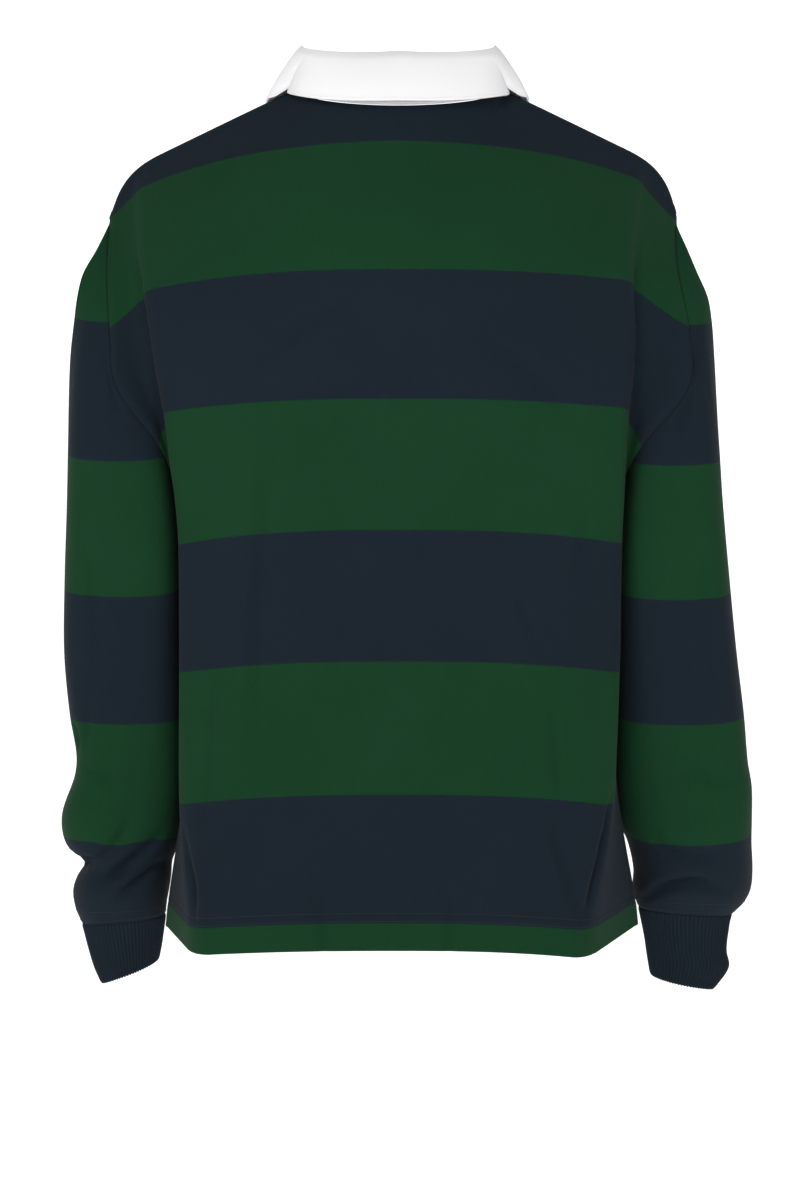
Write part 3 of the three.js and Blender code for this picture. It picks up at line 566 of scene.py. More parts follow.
BACK_CREASES = [  # x, z, depth, half width
    [
        (106, -240, 0, 6), (108, -290, 1.8, 6), (113, -360, 3.2, 6), (119, -476, 3.4, 5.5),
        (128, -585, 0, 5.5),
    ],
    [(-97, -412, 0, 3.5), (-104, -432, 2, 3.5), (-112, -451, 1.8, 3.5), (-119, -468, 0, 3.5)],
    [(-127, -500, 0, 4), (-130, -535, 2.4, 4), (-132, -562, 2.1, 4), (-136, -592, 0, 4)],
    [
        (-125, -592, 0, 5), (-131, -620, 3, 5), (-140, -650, 3.9, 5), (-151, -685, 2.7, 5),
        (-156, -705, 1.5, 5.5),
    ],
    [
        (-179, -580, 0, 3.5), (-175, -611, 5.1, 3.5), (-170, -635, 6.6, 3.5), (-162, -668, 5.1, 4),
        (-153, -695, 0, 4),
    ],
    [(180, -610, 0, 4), (175, -642, 3.6, 4), (170, -669, 4.2, 4), (169, -690, 0.9, 4)],
    [(34, -176, 0, 8), (62, -190, 1.8, 8), (98, -214, 2.2, 8), (140, -250, 0, 8)],
    [(-60, -200, 0, 8), (-96, -222, 2, 8), (-132, -256, 1.8, 8), (-160, -290, 0, 8)],
    [(58, -640, 0, 6), (63, -672, 2.8, 6), (61, -700, 3.4, 6), (60, -716, 3, 6)],
    [(-38, -655, 0, 6), (-45, -684, 2.5, 5.5), (-44, -716, 2.8, 5.5)],
    [(150, -470, 0, 5.5), (156, -520, 2.9, 5.5), (158, -575, 2.6, 5.5), (162, -620, 0, 5.5)],
    [(-160, -340, 0, 5.5), (-154, -385, 2.8, 5.5), (-150, -440, 0, 5.5)],
]
FOLD_CREASES = [
    [(196, -312, 0, 4), (200, -270, 3.3, 4), (208, -219, 3.9, 4), (216, -168, 3, 4), (221, -132, 0, 4)],
    [(-195, -309, 0, 4), (-196, -267, 3.3, 4), (-200, -213, 3.9, 4), (-199, -160, 3, 4), (-202, -122, 0, 4)],
]
FRONT_CREASES = [
    [(-95, -250, 0, 6), (-100, -320, 1.8, 6), (-106, -430, 2.5, 6), (-115, -560, 0, 5.5)],
    [(84, -420, 0, 3.5), (93, -446, 2.2, 3.5), (104, -470, 2, 3.5), (112, -488, 0, 3.5)],
    [(118, -545, 0, 5), (127, -590, 3, 5), (138, -640, 3.9, 5), (148, -690, 1.8, 5.5)],
    [(-150, -560, 0, 4), (-152, -604, 3.9, 4), (-146, -650, 3.6, 4), (-138, -698, 1.2, 5)],
    [(178, -296, 0, 5.5), (154, -322, 2.8, 5.5), (126, -346, 2.1, 5.5), (98, -362, 0, 5.5)],
    [(-180, -290, 0, 5.5), (-158, -312, 2.5, 5.5), (-130, -330, 2.2, 6), (-106, -340, 0, 5.5)],
    [(30, -640, 0, 6), (36, -672, 2.1, 6), (35, -704, 2.4, 6)],
    [(-60, -214, 0, 7), (-74, -260, 1.7, 7), (-78, -310, 0, 7)],
]
LEFT_SLEEVE_CREASES = [
    [(196, -622, 0, 5), (210, -636, 6.5, 5), (226, -649, 9, 5), (242, -661, 7.5, 5), (262, -672, 0, 5)],
    [(198, -650, 0, 4.5), (210, -659, 6.5, 4.5), (226, -671, 7.5, 4.5), (244, -682, 0, 4.5)],
    [(226, -606, 0, 5), (232, -624, 4.5, 5), (247, -642, 6, 5), (266, -651, 5, 5), (284, -652, 0, 5)],
    [(277, -526, 0, 3.5), (275, -540, 4.5, 3.5), (271, -556, 0, 4)],
    [(259, -518, 0, 3.5), (263, -536, 3.6, 3.5), (268, -556, 0, 3.5)],
    [(244, -212, 0, 3.5), (240, -232, 2.7, 3.5), (236, -252, 2.1, 3.5), (233, -270, 0, 3.5)],
    [(272, -566, 0, 4), (252, -574, 3.3, 4), (232, -576, 0, 4)],
    [(262, -360, 0, 5.5), (256, -410, 2, 5.5), (252, -470, 1.8, 5.5), (256, -510, 0, 5.5)],
]
RIGHT_SLEEVE_CREASES = [
    [(-206, -686, 0, 5), (-224, -672, 6.5, 5), (-241, -667, 8, 5), (-260, -667, 7, 5), (-286, -677, 0, 5)],
    [(-252, -212, 0, 4), (-247, -233, 3, 4), (-240, -262, 3.3, 5), (-230, -300, 0, 5)],
    [(-232, -560, 0, 5), (-252, -572, 3.6, 5), (-276, -578, 3.2, 5), (-292, -572, 0, 5)],
    [(-214, -628, 0, 4), (-232, -640, 4.4, 4), (-256, -644, 4, 4), (-276, -640, 0, 4)],
    [(-262, -380, 0, 5.5), (-258, -430, 2, 5.5), (-262, -490, 1.7, 5.5), (-270, -530, 0, 5.5)],
]
SLEEVE_FRONT_CREASES = [
    [(202, -486, 0, 5), (224, -506, 4.2, 5), (250, -516, 3.6, 5), (272, -512, 0, 5)],
    [(206, -538, 0, 4), (230, -550, 3.6, 4), (256, -550, 0, 4)],
    [(206, -646, 0, 4), (224, -664, 5.7, 4), (246, -672, 5.1, 4), (268, -668, 0, 4)],
    [(230, -250, 0, 5.5), (226, -300, 2.4, 5.5), (228, -350, 0, 5.5)],
    [(-204, -480, 0, 5), (-228, -500, 4.2, 5), (-256, -508, 3.3, 5), (-280, -502, 0, 5)],
    [(-212, -546, 0, 4), (-238, -560, 3.9, 4), (-268, -562, 0, 4)],
    [(-212, -652, 0, 4), (-234, -668, 5.7, 4), (-262, -672, 5.1, 4), (-284, -666, 0, 4)],
    [(-226, -260, 0, 5.5), (-222, -310, 2.5, 5.5), (-226, -360, 0, 5.5)],
]
CREASES = [
    ("back_panel", 1, BACK_CREASES), ("back_panel", 1, FOLD_CREASES), ("front_panel", -1, FRONT_CREASES),
    ("sleeve_left", 1, LEFT_SLEEVE_CREASES), ("sleeve_right", 1, RIGHT_SLEEVE_CREASES),
    ("sleeve_left", -1, SLEEVE_FRONT_CREASES[:4]), ("sleeve_right", -1, SLEEVE_FRONT_CREASES[4:]),
]


def crease(co, out, facing, rows):
    """How far a given trough, or a ridge where its depth is negative, moves each point outwards."""
    rows = np.array(rows, float)
    run = np.concatenate([[0], np.cumsum(np.hypot(*np.diff(rows[:, :2], axis=0).T))])
    x, z, depth, width = through(run, rows, np.linspace(0, run[-1], 70)).T
    facing_it = np.flatnonzero(out[:, 1] * facing > 0.15)
    apart = (co[facing_it, 0] - x[:, None]) ** 2 + (co[facing_it, 2] - z[:, None]) ** 2
    nearest = facing_it[apart.argmin(1)]
    path = np.stack([x, co[nearest, 1], z], 1)
    ahead = unit(np.gradient(path, axis=0))
    across = unit(np.cross(out[nearest], ahead))
    reach = np.linalg.norm(co[:, None] - path, axis=-1)
    k = reach.argmin(1)
    u = ((co - path[k]) * across[k]).sum(1) / width[k]
    distance = reach.min(1) / width[k]
    return -depth[k] * np.exp(-distance**2) * (1 - 0.6 * u)


for name, facing, paths in CREASES:
    shape = points[name].shape
    co, out = points[name].reshape(-1, 3), normals[name]
    moved = sum(crease(co, out, facing, rows) for rows in paths)
    if name.startswith("sleeve"):
        edge_run = np.linalg.norm(points[name] - points[name][:1], axis=-1)
    else:
        from_edges = [np.linalg.norm(points[name] - points[name][:, [k]], axis=-1) for k in (0, -1)]
        edge_run = np.minimum(*from_edges)
    moved = moved * smooth(edge_run.ravel(), 1, 9)
    points[name] = (co + out * moved[:, None]).reshape(shape)


ALLOWANCE_HEIGHT = 0.45
GROOVE_DEPTH, GROOVE_WIDTH = 0.75, 1.5
STITCH_ROW_DEPTH, STITCH_ROW_WIDTH = 0.4, 1.1
PRESSED_SHARE, PRESSED_REACH = 0.25, (470, 560)


def seam(run, allowance=0):
    """The groove at a seam and, where the allowance is turned, the low step that it makes beside it."""
    step = allowance * smooth(run, 0.6, 2.4) * (1 - smooth(run, 7.5, 9.5))
    return step - GROOVE_DEPTH * np.exp(-(run / GROOVE_WIDTH) ** 2)


def armhole_depth(level):
    """Share of the full groove at the armhole, which is pressed flat low down and open over the shoulder."""
    return mix(PRESSED_SHARE, 1, smooth(level, *PRESSED_REACH))


for name in sheets:
    grid = points[name]

    def run_from(row, column):
        return np.linalg.norm(grid - grid[row, column], axis=-1)

    every = slice(None)
    if name.startswith("sleeve"):
        raised = armhole_depth(ring_levels) * seam(run_from([0], every))
        raised = raised + seam(run_from([-1], every)) + seam(run_from(every, [0]))
    else:
        level = levels[name[:-6]][:, None]
        pressed = np.where(level < UNDERARM_LEVEL, 1, armhole_depth(level))
        edges = [seam(run_from(every, [k]), ALLOWANCE_HEIGHT) for k in (0, -1)]
        raised = pressed * (edges[0] + edges[1])
        shoulder = seam(run_from([-1], every), ALLOWANCE_HEIGHT if name == "back_panel" else 0)
        raised = raised + shoulder * (np.abs(columns) >= NECK_COLUMN)
        rows = sum(np.exp(-((level - row) / STITCH_ROW_WIDTH) ** 2) for row in HEM_STITCH_LEVELS)
        raised = raised - STITCH_ROW_DEPTH * rows
    points[name] = grid + normals[name].reshape(grid.shape) * raised[..., None]

jersey_pieces = {}
for name in sheets:
    quads, places = faces[name]
    co = trimmed(points[name].reshape(-1, 3), quads, places, SEAM_GAP)
    jersey_pieces[name] = shell(name, co, normals[name], quads, places, cut[name], WALL, jersey)

for name, flat, area in (
    ("back_panel", (0.57, 0.735), 0.40), ("front_panel", (0.57, 0.735), 0.39),
    ("sleeve_left", (0.45, 0.57), 0.2), ("sleeve_right", (0.45, 0.57), 0.2),
):
    piece = jersey_pieces[name]
    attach(piece, "root")
    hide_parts(name)

# Hem stitching: two rows of navy thread, made by a twin needle, hold the hem's turned-up allowance.
# Every stitch in this file is a short rounded piece of thread, laid along a row by one node tree.
STITCH_PITCH = 2.6


def node_group(name, sockets):
    """An empty geometry tree with named inputs, its group ends and a way to add a node."""
    group = bpy.data.node_groups.new(name, "GeometryNodeTree")
    for label, kind in sockets:
        group.interface.new_socket(label, in_out="INPUT", socket_type=kind)
    group.interface.new_socket("Result", in_out="OUTPUT", socket_type="NodeSocketGeometry")
    start = group.nodes.new("NodeGroupInput").outputs

    def node(kind, inputs=None, **values):
        made = group.nodes.new(kind)
        for key, value in values.items():
            setattr(made, key, value)
        for key, value in (inputs or {}).items():
            if isinstance(value, bpy.types.NodeSocket):
                group.links.new(value, made.inputs[key])
            else:
                made.inputs[key].default_value = value
        return made

    return group, start, node


def built(piece, group, values):
    """The plain mesh that a geometry tree makes of a piece, in the piece's place."""
    modifier = piece.modifiers.new(group.name, "NODES")
    modifier.node_group = group
    for item in group.interface.items_tree:
        if item.in_out == "INPUT" and item.name in values:
            modifier[item.identifier] = values[item.name]
    depsgraph = bpy.context.evaluated_depsgraph_get()
    mesh = bpy.data.meshes.new_from_object(piece.evaluated_get(depsgraph))
    piece.modifiers.remove(modifier)
    piece.data = mesh
    return piece


def stitch_tree():
    sockets = [
        ("Guide", "NodeSocketGeometry"), ("Stitch Length", "NodeSocketFloat"),
        ("Thread Radius", "NodeSocketFloat"), ("Thread", "NodeSocketMaterial"),
    ]
    group, start, node = node_group("stitches", sockets)
    vector = dict(data_type="FLOAT_VECTOR")
    ahead = node("GeometryNodeInputNamedAttribute", {"Name": "ahead"}, **vector).outputs["Attribute"]
    away = node("GeometryNodeInputNamedAttribute", {"Name": "away"}, **vector).outputs["Attribute"]
    turned = node("FunctionNodeAlignRotationToVector", {"Vector": ahead}, axis="X").outputs[0]
    turned = node(
        "FunctionNodeAlignRotationToVector", {"Rotation": turned, "Vector": away}, axis="Z", pivot_axis="X",
    ).outputs[0]
    half = node("ShaderNodeMath", {0: start["Stitch Length"], 1: 0.5}, operation="MULTIPLY").outputs[0]
    size = {"X": half, "Y": start["Thread Radius"], "Z": start["Thread Radius"]}
    scale = node("ShaderNodeCombineXYZ", size).outputs[0]
    ball = node("GeometryNodeMeshUVSphere", {"Segments": 6, "Rings": 4, "Radius": 1}).outputs[0]
    ball = node("GeometryNodeSetShadeSmooth", {"Geometry": ball}).outputs[0]
    placing = {"Points": start["Guide"], "Instance": ball, "Rotation": turned, "Scale": scale}
    placed = node("GeometryNodeInstanceOnPoints", placing).outputs[0]
    real = node("GeometryNodeRealizeInstances", {"Geometry": placed}).outputs[0]
    finish = node("GeometryNodeSetMaterial", {"Geometry": real, "Material": start["Thread"]}).outputs[0]
    node("NodeGroupOutput", {"Result": finish})
    return group


STITCHES = stitch_tree()


def stitched(name, rows, thread, length=2.1, radius=0.26, pitch=STITCH_PITCH, crosswise=False):
    """A piece of stitches along rows of (points, normals), drawn in by half their thickness."""
    places, ahead, away = [], [], []
    for line, out in rows:
        run = np.concatenate([[0], np.cumsum(np.linalg.norm(np.diff(line, axis=0), axis=1))])
        at = np.arange(pitch / 2, run[-1], pitch)

        def sample(values, where):
            return np.stack([np.interp(where, run, column) for column in values.T], 1)

        along_row = unit(sample(line, at + 0.6) - sample(line, at - 0.6))
        up = unit(sample(out, at))
        places.append(sample(line, at) + up * 0.1)
        ahead.append(unit(np.cross(up, along_row)) if crosswise else along_row)
        away.append(up)
    mesh = bpy.data.meshes.new(name)
    mesh.from_pydata((np.concatenate(places) * MM).tolist(), [], [])
    for label, values in (("ahead", ahead), ("away", away)):
        data = mesh.attributes.new(label, "FLOAT_VECTOR", "POINT").data
        data.foreach_set("vector", np.concatenate(values).astype(np.float32).ravel())
    piece = bpy.data.objects.new(name, mesh)
    bpy.context.scene.collection.objects.link(piece)
    values = {"Stitch Length": length * MM, "Thread Radius": radius * MM, "Thread": thread}
    built(piece, STITCHES, values)
    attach(piece, "root")
    return piece


def thread_material(name, colour):
    """Twisted cotton thread."""
    material, node, maths = painter(name)
    place = node("ShaderNodeTexCoord").outputs["Object"]
    split = node("ShaderNodeSeparateXYZ", {0: place}).outputs
    twist = maths("COSINE", maths("MULTIPLY", maths("ADD", split[0], split[2]), 2 * math.pi / 0.0004))
    matte(node, uneven(node, maths, colour, place), twist, 0.00005, rough=0.7, specular=0.2)
    return material


navy_thread = thread_material("navy_thread", (0.03, 0.034, 0.042, 1))
hem_rows = []
for panel in ("back", "front"):
    name = f"{panel}_panel"
    surface = points[name]
    outward = normals[name].reshape(surface.shape)
    for level in HEM_STITCH_LEVELS:
        row = np.argmin(np.abs(levels[panel] - level))
        hem_rows.append((surface[row], outward[row]))
stitched("hem_stitches", hem_rows, navy_thread)

# Cuffs: plain navy ribbed knit, each a doubled band about 60 mm deep, stretched on to the gathered sleeve
# end and held there by two rows of stitches. Ribs run down them, one about every 3 mm.
RIBS_ROUND = 72
RIB_PITCH = 2 * math.pi * CUFF_RADIUS / RIBS_ROUND
RIB_DEPTH = 0.9


def rib_tree():
    sockets = [
        ("Cloth", "NodeSocketGeometry"), ("Rib Pitch", "NodeSocketFloat"),
        ("Rib Depth", "NodeSocketFloat"), ("Knit", "NodeSocketMaterial"),
    ]
    group, start, node = node_group("ribs", sockets)

    def maths(operation, *inputs):
        return node("ShaderNodeMath", dict(enumerate(inputs)), operation=operation).outputs[0]

    place = node("GeometryNodeInputNamedAttribute", {"Name": "cut"}, data_type="FLOAT_VECTOR")
    across = node("ShaderNodeSeparateXYZ", {0: place.outputs["Attribute"]}).outputs[0]
    wave = maths("COSINE", maths("MULTIPLY", maths("DIVIDE", across, start["Rib Pitch"]), 2 * math.pi))
    height = maths("MULTIPLY", wave, maths("MULTIPLY", start["Rib Depth"], 0.5))
    normal = node("GeometryNodeInputNormal").outputs[0]
    shift = node("ShaderNodeVectorMath", {0: normal, "Scale": height}, operation="SCALE").outputs[0]
    moved = node("GeometryNodeSetPosition", {"Geometry": start["Cloth"], "Offset": shift}).outputs[0]
    real = node("GeometryNodeRealizeInstances", {"Geometry": moved}).outputs[0]
    finish = node("GeometryNodeSetMaterial", {"Geometry": real, "Material": start["Knit"]}).outputs[0]
    node("NodeGroupOutput", {"Result": finish})
    return group


def rib_material():
    """Navy rib knit: the same yarn as the jersey, with its stitches in the ribs and painted shade in their
    hollows.
    """
    material, node, maths = painter("navy_rib")
    place = node("ShaderNodeUVMap", uv_map="cut").outputs[0]
    split = node("ShaderNodeSeparateXYZ", {0: place}).outputs
    # Painted shade and highlight: the navy is darkened in the rib hollows and lightened a little on the rib
    # tops, in step with the rib relief.
    rib_shade_wave = maths("COSINE", maths("MULTIPLY", split[0], 2 * math.pi / (RIB_PITCH * MM)))
    depth = maths("MULTIPLY_ADD", rib_shade_wave, 0.11, 0.95)
    base = node("ShaderNodeHueSaturation", {"Color": NAVY, "Value": depth}).outputs[0]
    height = knit_height(maths, split[0], split[1], RIB_PITCH * MM / 2, 0.0011)
    matte(node, uneven(node, maths, base, place), height, 0.0002)
    return material


rib = rib_material()
ribs = rib_tree()
cuff_turns = np.linspace(math.pi, -math.pi, 6 * RIBS_ROUND, endpoint=False)
for side in ("left", "right"):
    name = f"cuff_{side}"
    shares = spaced((0, 0.12, 6), (0.12, 0.9, 20), (0.9, 1, 4))
    z = mix(CUFF_SEAM_Z[side], SLEEVE_ROWS[side][-1, 0], shares)[:, None] + 0 * cuff_turns
    turn = np.broadcast_to(cuff_turns, z.shape)
    co = tube_points(side, z, turn)
    quads, places = grid_quads(*co.shape[:2], wrap=True, flip=side == "right")
    flat = co.reshape(-1, 3)
    out = unit(corner_normals(flat, quads))
    run = np.linalg.norm(co - co[:1], axis=-1).ravel()
    edge = 0.5 * smooth(1 - shares, 0, 0.04)[:, None] + 0 * turn - 0.5
    flat = flat + out * (seam(run) + edge.ravel())[:, None]
    wide = np.concatenate([turn, np.full((len(turn), 1), -math.pi)], 1)
    spots = np.stack([wide * CUFF_RADIUS, np.concatenate([z, z[:, :1]], 1)], -1)
    piece = shell(name, trimmed(flat, quads, places, SEAM_GAP), out, quads, places, spots, WALL, rib)
    built(piece, ribs, {"Rib Pitch": RIB_PITCH * MM, "Rib Depth": RIB_DEPTH * MM, "Knit": rib})
    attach(piece, "root")
    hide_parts(name)
    sleeve = points[f"sleeve_{side}"]
    outward = normals[f"sleeve_{side}"].reshape(sleeve.shape)
    rows = []
    for row in (-3, -8):
        ring = np.concatenate([sleeve[row], sleeve[row, :1]])
        rows.append((ring, np.concatenate([outward[row], outward[row, :1]])))
    stitched(f"{name}_stitches", rows, navy_thread)

# Collar: a stand and a leaf in white cotton twill. The stand is sewn upright into the neck and leans in to
# the neck it holds; the leaf folds over it and falls on the shoulders, with a row of stitches near its edge.
def twill_material(name, colour, rib_width=0.0009):
    """Close twill: fine slanting ribs and a faint unevenness of the yarn."""
    material, node, maths = painter(name)
    place = node("ShaderNodeUVMap", uv_map="cut").outputs[0]
    split = node("ShaderNodeSeparateXYZ", {0: place}).outputs
    slant = maths("MULTIPLY_ADD", split[0], 1.4, split[1])
    ribs = maths("COSINE", maths("MULTIPLY", slant, 2 * math.pi / rib_width))
    yarn = maths("COSINE", maths("MULTIPLY", split[0], 2 * math.pi / (rib_width * 0.6)))
    soft = node("ShaderNodeTexNoise", {"Vector": place, "Scale": 60, "Detail": 4}).outputs["Fac"]
    height = maths("MULTIPLY_ADD", soft, 2.5, maths("MULTIPLY_ADD", yarn, 0.3, ribs))
    matte(node, uneven(node, maths, colour, place, 0.035), height, 0.0001, rough=0.75, specular=0.2)
    return material


twill = twill_material("white_twill", (0.9, 0.89, 0.9, 1))
white_thread = thread_material("white_thread", (0.78, 0.77, 0.78, 1))

COLLAR_AXIS_Y = -5
STAND_ROWS = np.array([(0, 44, 8), (0.5, 34, 6), (1, 24, 10)], float)  # turn, height, lean
LEAF_ROWS = np.array([  # turn, column, how far below the neck seam, lift off the panel
    (0, 0, 5, 12), (0.2, 0.14, 5, 11), (0.34, 0.27, 3, 8), (0.43, 0.33, 2.5, 5), (0.5, 0.36, 0, 2.8),
    (0.6, 0.35, 14, 3), (0.8, 0.27, 36, 4.5), (1, 0.17, 60, 5.5),
])
LEAF_RISE, LEAF_BULGE, LEAF_DROP, LEAF_BELLY = 3.2, 6.5, 7, 1.5


def inward(co):
    away = np.stack([-co[..., 0], COLLAR_AXIS_Y - co[..., 1], 0 * co[..., 0]], -1)
    return unit(away)


def lifted_points(panel, side, column, level, lift):
    """Places on a panel, given one by one, lifted off its outer face."""

    def at(columns, levels):
        return np.einsum("iik->ik", body_points(panel, side, columns, levels))

    base = at(column, level)
    across = at(column + 0.004, level) - base
    up = base - at(column, level - 1)
    facing = -FACING[panel] * SIGN[side]
    return base + unit(np.cross(across, up)) * facing * np.asarray(lift).reshape(-1, 1)


neck_half = np.linspace(0, NECK_COLUMN, 44)
neck_left_front = top_points("front", "left", neck_half[:-1])
neck_back = top_points("back", "left", neck_half)
neck_line = np.concatenate([
    neck_left_front,
    neck_back[::-1],
    neck_back[1:] * (-1, 1, 1),
    neck_left_front[::-1] * (-1, 1, 1),
])
neck_turn = np.abs(np.linspace(-1, 1, len(neck_line)))
height, lean = along(STAND_ROWS, neck_turn).T
stand_shares = np.linspace(0, 1, 16)[:, None, None]
stand = neck_line + inward(neck_line) * lean[:, None] * stand_shares
stand = stand + np.array([0, 0, 1]) * height[:, None] * stand_shares
quads, places = grid_quads(*stand.shape[:2])
co = stand.reshape(-1, 3)
out = unit(corner_normals(co, quads))
run = np.concatenate([[0], np.cumsum(np.linalg.norm(np.diff(neck_line, axis=0), axis=1))])
spots = np.stack([np.broadcast_to(run, stand.shape[:2]), stand_shares[..., 0] * height], -1)
co = trimmed(co, quads, places, 0.4)
co[:len(neck_line)] += (0, 0, 0.5)
piece = shell("collar_stand", co, out, quads, places, spots, WALL, twill)
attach(piece, "root")
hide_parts("collar_stand")

column, below, lift = along(LEAF_ROWS, neck_turn).T
edge = np.zeros_like(neck_line)
for index in range(4):
    half = np.arange(len(neck_turn)) < len(neck_turn) / 2
    on_back = neck_turn <= 0.5
    chosen = (half if index % 2 else ~half) & (on_back if index < 2 else ~on_back)
    panel = "back" if index < 2 else "front"
    side = "left" if index % 2 else "right"
    level = np.minimum(TOP_LEVEL[panel], TOP_LEVEL[panel] - below[chosen])
    edge[chosen] = lifted_points(panel, side, column[chosen], level, lift[chosen])
roll = stand[-1] + (0, 0, LEAF_RISE)
knee = roll - inward(stand[-1]) * LEAF_BULGE - (0, 0, LEAF_DROP)
belly = (knee + edge) / 2 - inward(stand[-1]) * LEAF_BELLY
leaf = through(np.array([0, 0.25, 0.6, 1]), np.stack([roll, knee, belly, edge]), np.linspace(0, 1, 36))
quads, places = grid_quads(*leaf.shape[:2], flip=True)
co = leaf.reshape(-1, 3)
out = unit(corner_normals(co, quads))
fall = np.linspace(0, 1, 36)[:, None] * np.linalg.norm(edge - roll, axis=1)
spots = np.stack([np.broadcast_to(run, leaf.shape[:2]), fall], -1)
piece = shell("collar_leaf", trimmed(co, quads, places, 0.25), out, quads, places, spots, WALL, twill)
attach(piece, "root")
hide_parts("collar_leaf")

rim_out = out.reshape(leaf.shape)
rows = [
    (leaf[-3, 2:-2], rim_out[-3, 2:-2]),
    (leaf[2:-2, 2], rim_out[2:-2, 2]),
    (leaf[2:-2, -3], rim_out[2:-2, -3]),
]
stitched("collar_stitches", rows, white_thread, length=1.9, radius=0.2, pitch=2.4)

# Placket: two navy cotton bands that close the slit at the front of the neck, the left over the right.
# Each is sewn to the front along its edges; a box of stitches holds the lower end.
PLACKET_HALF_WIDTH = 15.5
PLACKET_LEVELS = np.linspace(507, 657, 76)
band = twill_material("placket_band", NAVY, 0.0008)


def placket_points(lift, share, at=PLACKET_LEVELS):
    """Places down the placket at a share of its half width, lifted off the front."""
    side = "right" if share < 0 else "left"
    lifts = np.full(len(at), lift)
    probe = 0.05
    per_column = np.abs(lifted_points("front", side, np.full(len(at), probe), at, lifts)[:, 0]) / probe
    return lifted_points("front", side, abs(share) * PLACKET_HALF_WIDTH / per_column, at, lifts)


PLACKET_CLEARANCE = 0.7
placket_over_lift = PLACKET_CLEARANCE + WALL
for name, lift in (("placket_over", placket_over_lift), ("placket_under", -placket_over_lift)):
    shares = np.concatenate([[-1, -0.97], np.linspace(-0.9, 0.9, 15), [0.97, 1]])
    grid = np.stack([placket_points(lift, share) for share in shares], 1)
    quads, places = grid_quads(*grid.shape[:2])
    co = grid.reshape(-1, 3)
    out = unit(corner_normals(co, quads))
    spots = np.stack(np.broadcast_arrays(shares * PLACKET_HALF_WIDTH, PLACKET_LEVELS[:, None]), -1)
    edge = np.abs(spots[..., 0]) > PLACKET_HALF_WIDTH * 0.98
    co = co - out * (edge * 0.35).reshape(-1, 1)
    piece = shell(name, co, out, quads, places, spots, WALL, band)
    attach(piece, "root")
    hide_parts(name)
    if name == "placket_over":
        face_out = out.reshape(grid.shape)


def on_band(share, at):
    """Places and normals on the upper band for a row of levels or of shares."""
    share, at = np.broadcast_arrays(np.asarray(share, float), np.asarray(at, float))
    pairs = zip(share, at)
    spot = np.concatenate([placket_points(placket_over_lift, one, np.array([up])) for one, up in pairs])
    row = np.searchsorted(PLACKET_LEVELS, at).clip(0, len(PLACKET_LEVELS) - 1)
    return spot, face_out[row, len(shares) // 2]


run_levels = np.linspace(512, 655, 40)
across_shares = np.linspace(-0.86, 0.86, 12)
rows = [on_band(-0.86, run_levels), on_band(0.86, run_levels)]
rows += [on_band(across_shares, 512), on_band(across_shares, 530)]
stitched("placket_stitches", rows, navy_thread, length=1.9, radius=0.2, pitch=2.4)

# Buttons: three off-white rubber buttons with a raised rim and four holes, sewn to the under band with
# thread through the buttonholes of the over band. They stay fastened.
BUTTON_RADIUS, BUTTON_THICKNESS, BUTTON_CLEARANCE = 5.8, 2.8, 0.35
BUTTON_FACE = 0.68
BUTTON_LEVELS = (625, 585, 545)
BUTTON_PROFILE = [
    (0, 0), (0.8, 0), (0.9, 0.06), (0.97, 0.2), (1, 0.4), (1, 0.66), (0.97, 0.86), (0.92, 0.97), (0.87, 1),
    (0.81, 0.98), (0.76, 0.9), (0.7, 0.78), (0.62, 0.71), (0.5, 0.67), (0, 0.66),
]
HOLE_RADIUS, HOLE_APART = 0.72, 1.45


def rubber_material():
    """Moulded rubber, off-white, with a soft gloss and a fine grain."""
    material, node, maths = painter("button_rubber")
    place = node("ShaderNodeTexCoord").outputs["Object"]
    grain = node("ShaderNodeTexNoise", {"Vector": place, "Scale": 1500, "Detail": 3}).outputs["Fac"]
    colour = uneven(node, maths, (0.62, 0.59, 0.52, 1), place, 0.05)
    matte(node, colour, grain, 0.00004, rough=0.42, sheen=0, specular=0.45)
    return material


def turned(profile, radius, height, segments):
    """Points and faces of a profile of (share of radius, share of height) turned about Z."""
    angles = np.linspace(0, 2 * math.pi, segments, endpoint=False)
    rings = profile[1:-1]
    co = [(0, 0, profile[0][1] * height), (0, 0, profile[-1][1] * height)]
    for share, rise in rings:
        reach = share * radius
        co += [(reach * math.cos(a), reach * math.sin(a), rise * height) for a in angles]
    quads = []
    for i in range(len(rings) - 1):
        for j in range(segments):
            k = (j + 1) % segments
            a, b = 2 + i * segments, 2 + (i + 1) * segments
            quads.append((a + j, a + k, b + k, b + j))
    last = 2 + (len(rings) - 1) * segments
    quads += [(0, 2 + (j + 1) % segments, 2 + j) for j in range(segments)]
    quads += [(1, last + j, last + (j + 1) % segments) for j in range(segments)]
    return co, quads


def plain_object(name, co, polygons):
    mesh = bpy.data.meshes.new(name)
    mesh.from_pydata([tuple(c * MM for c in p) for p in co], [], polygons)
    made = bpy.data.objects.new(name, mesh)
    bpy.context.scene.collection.objects.link(made)
    return made


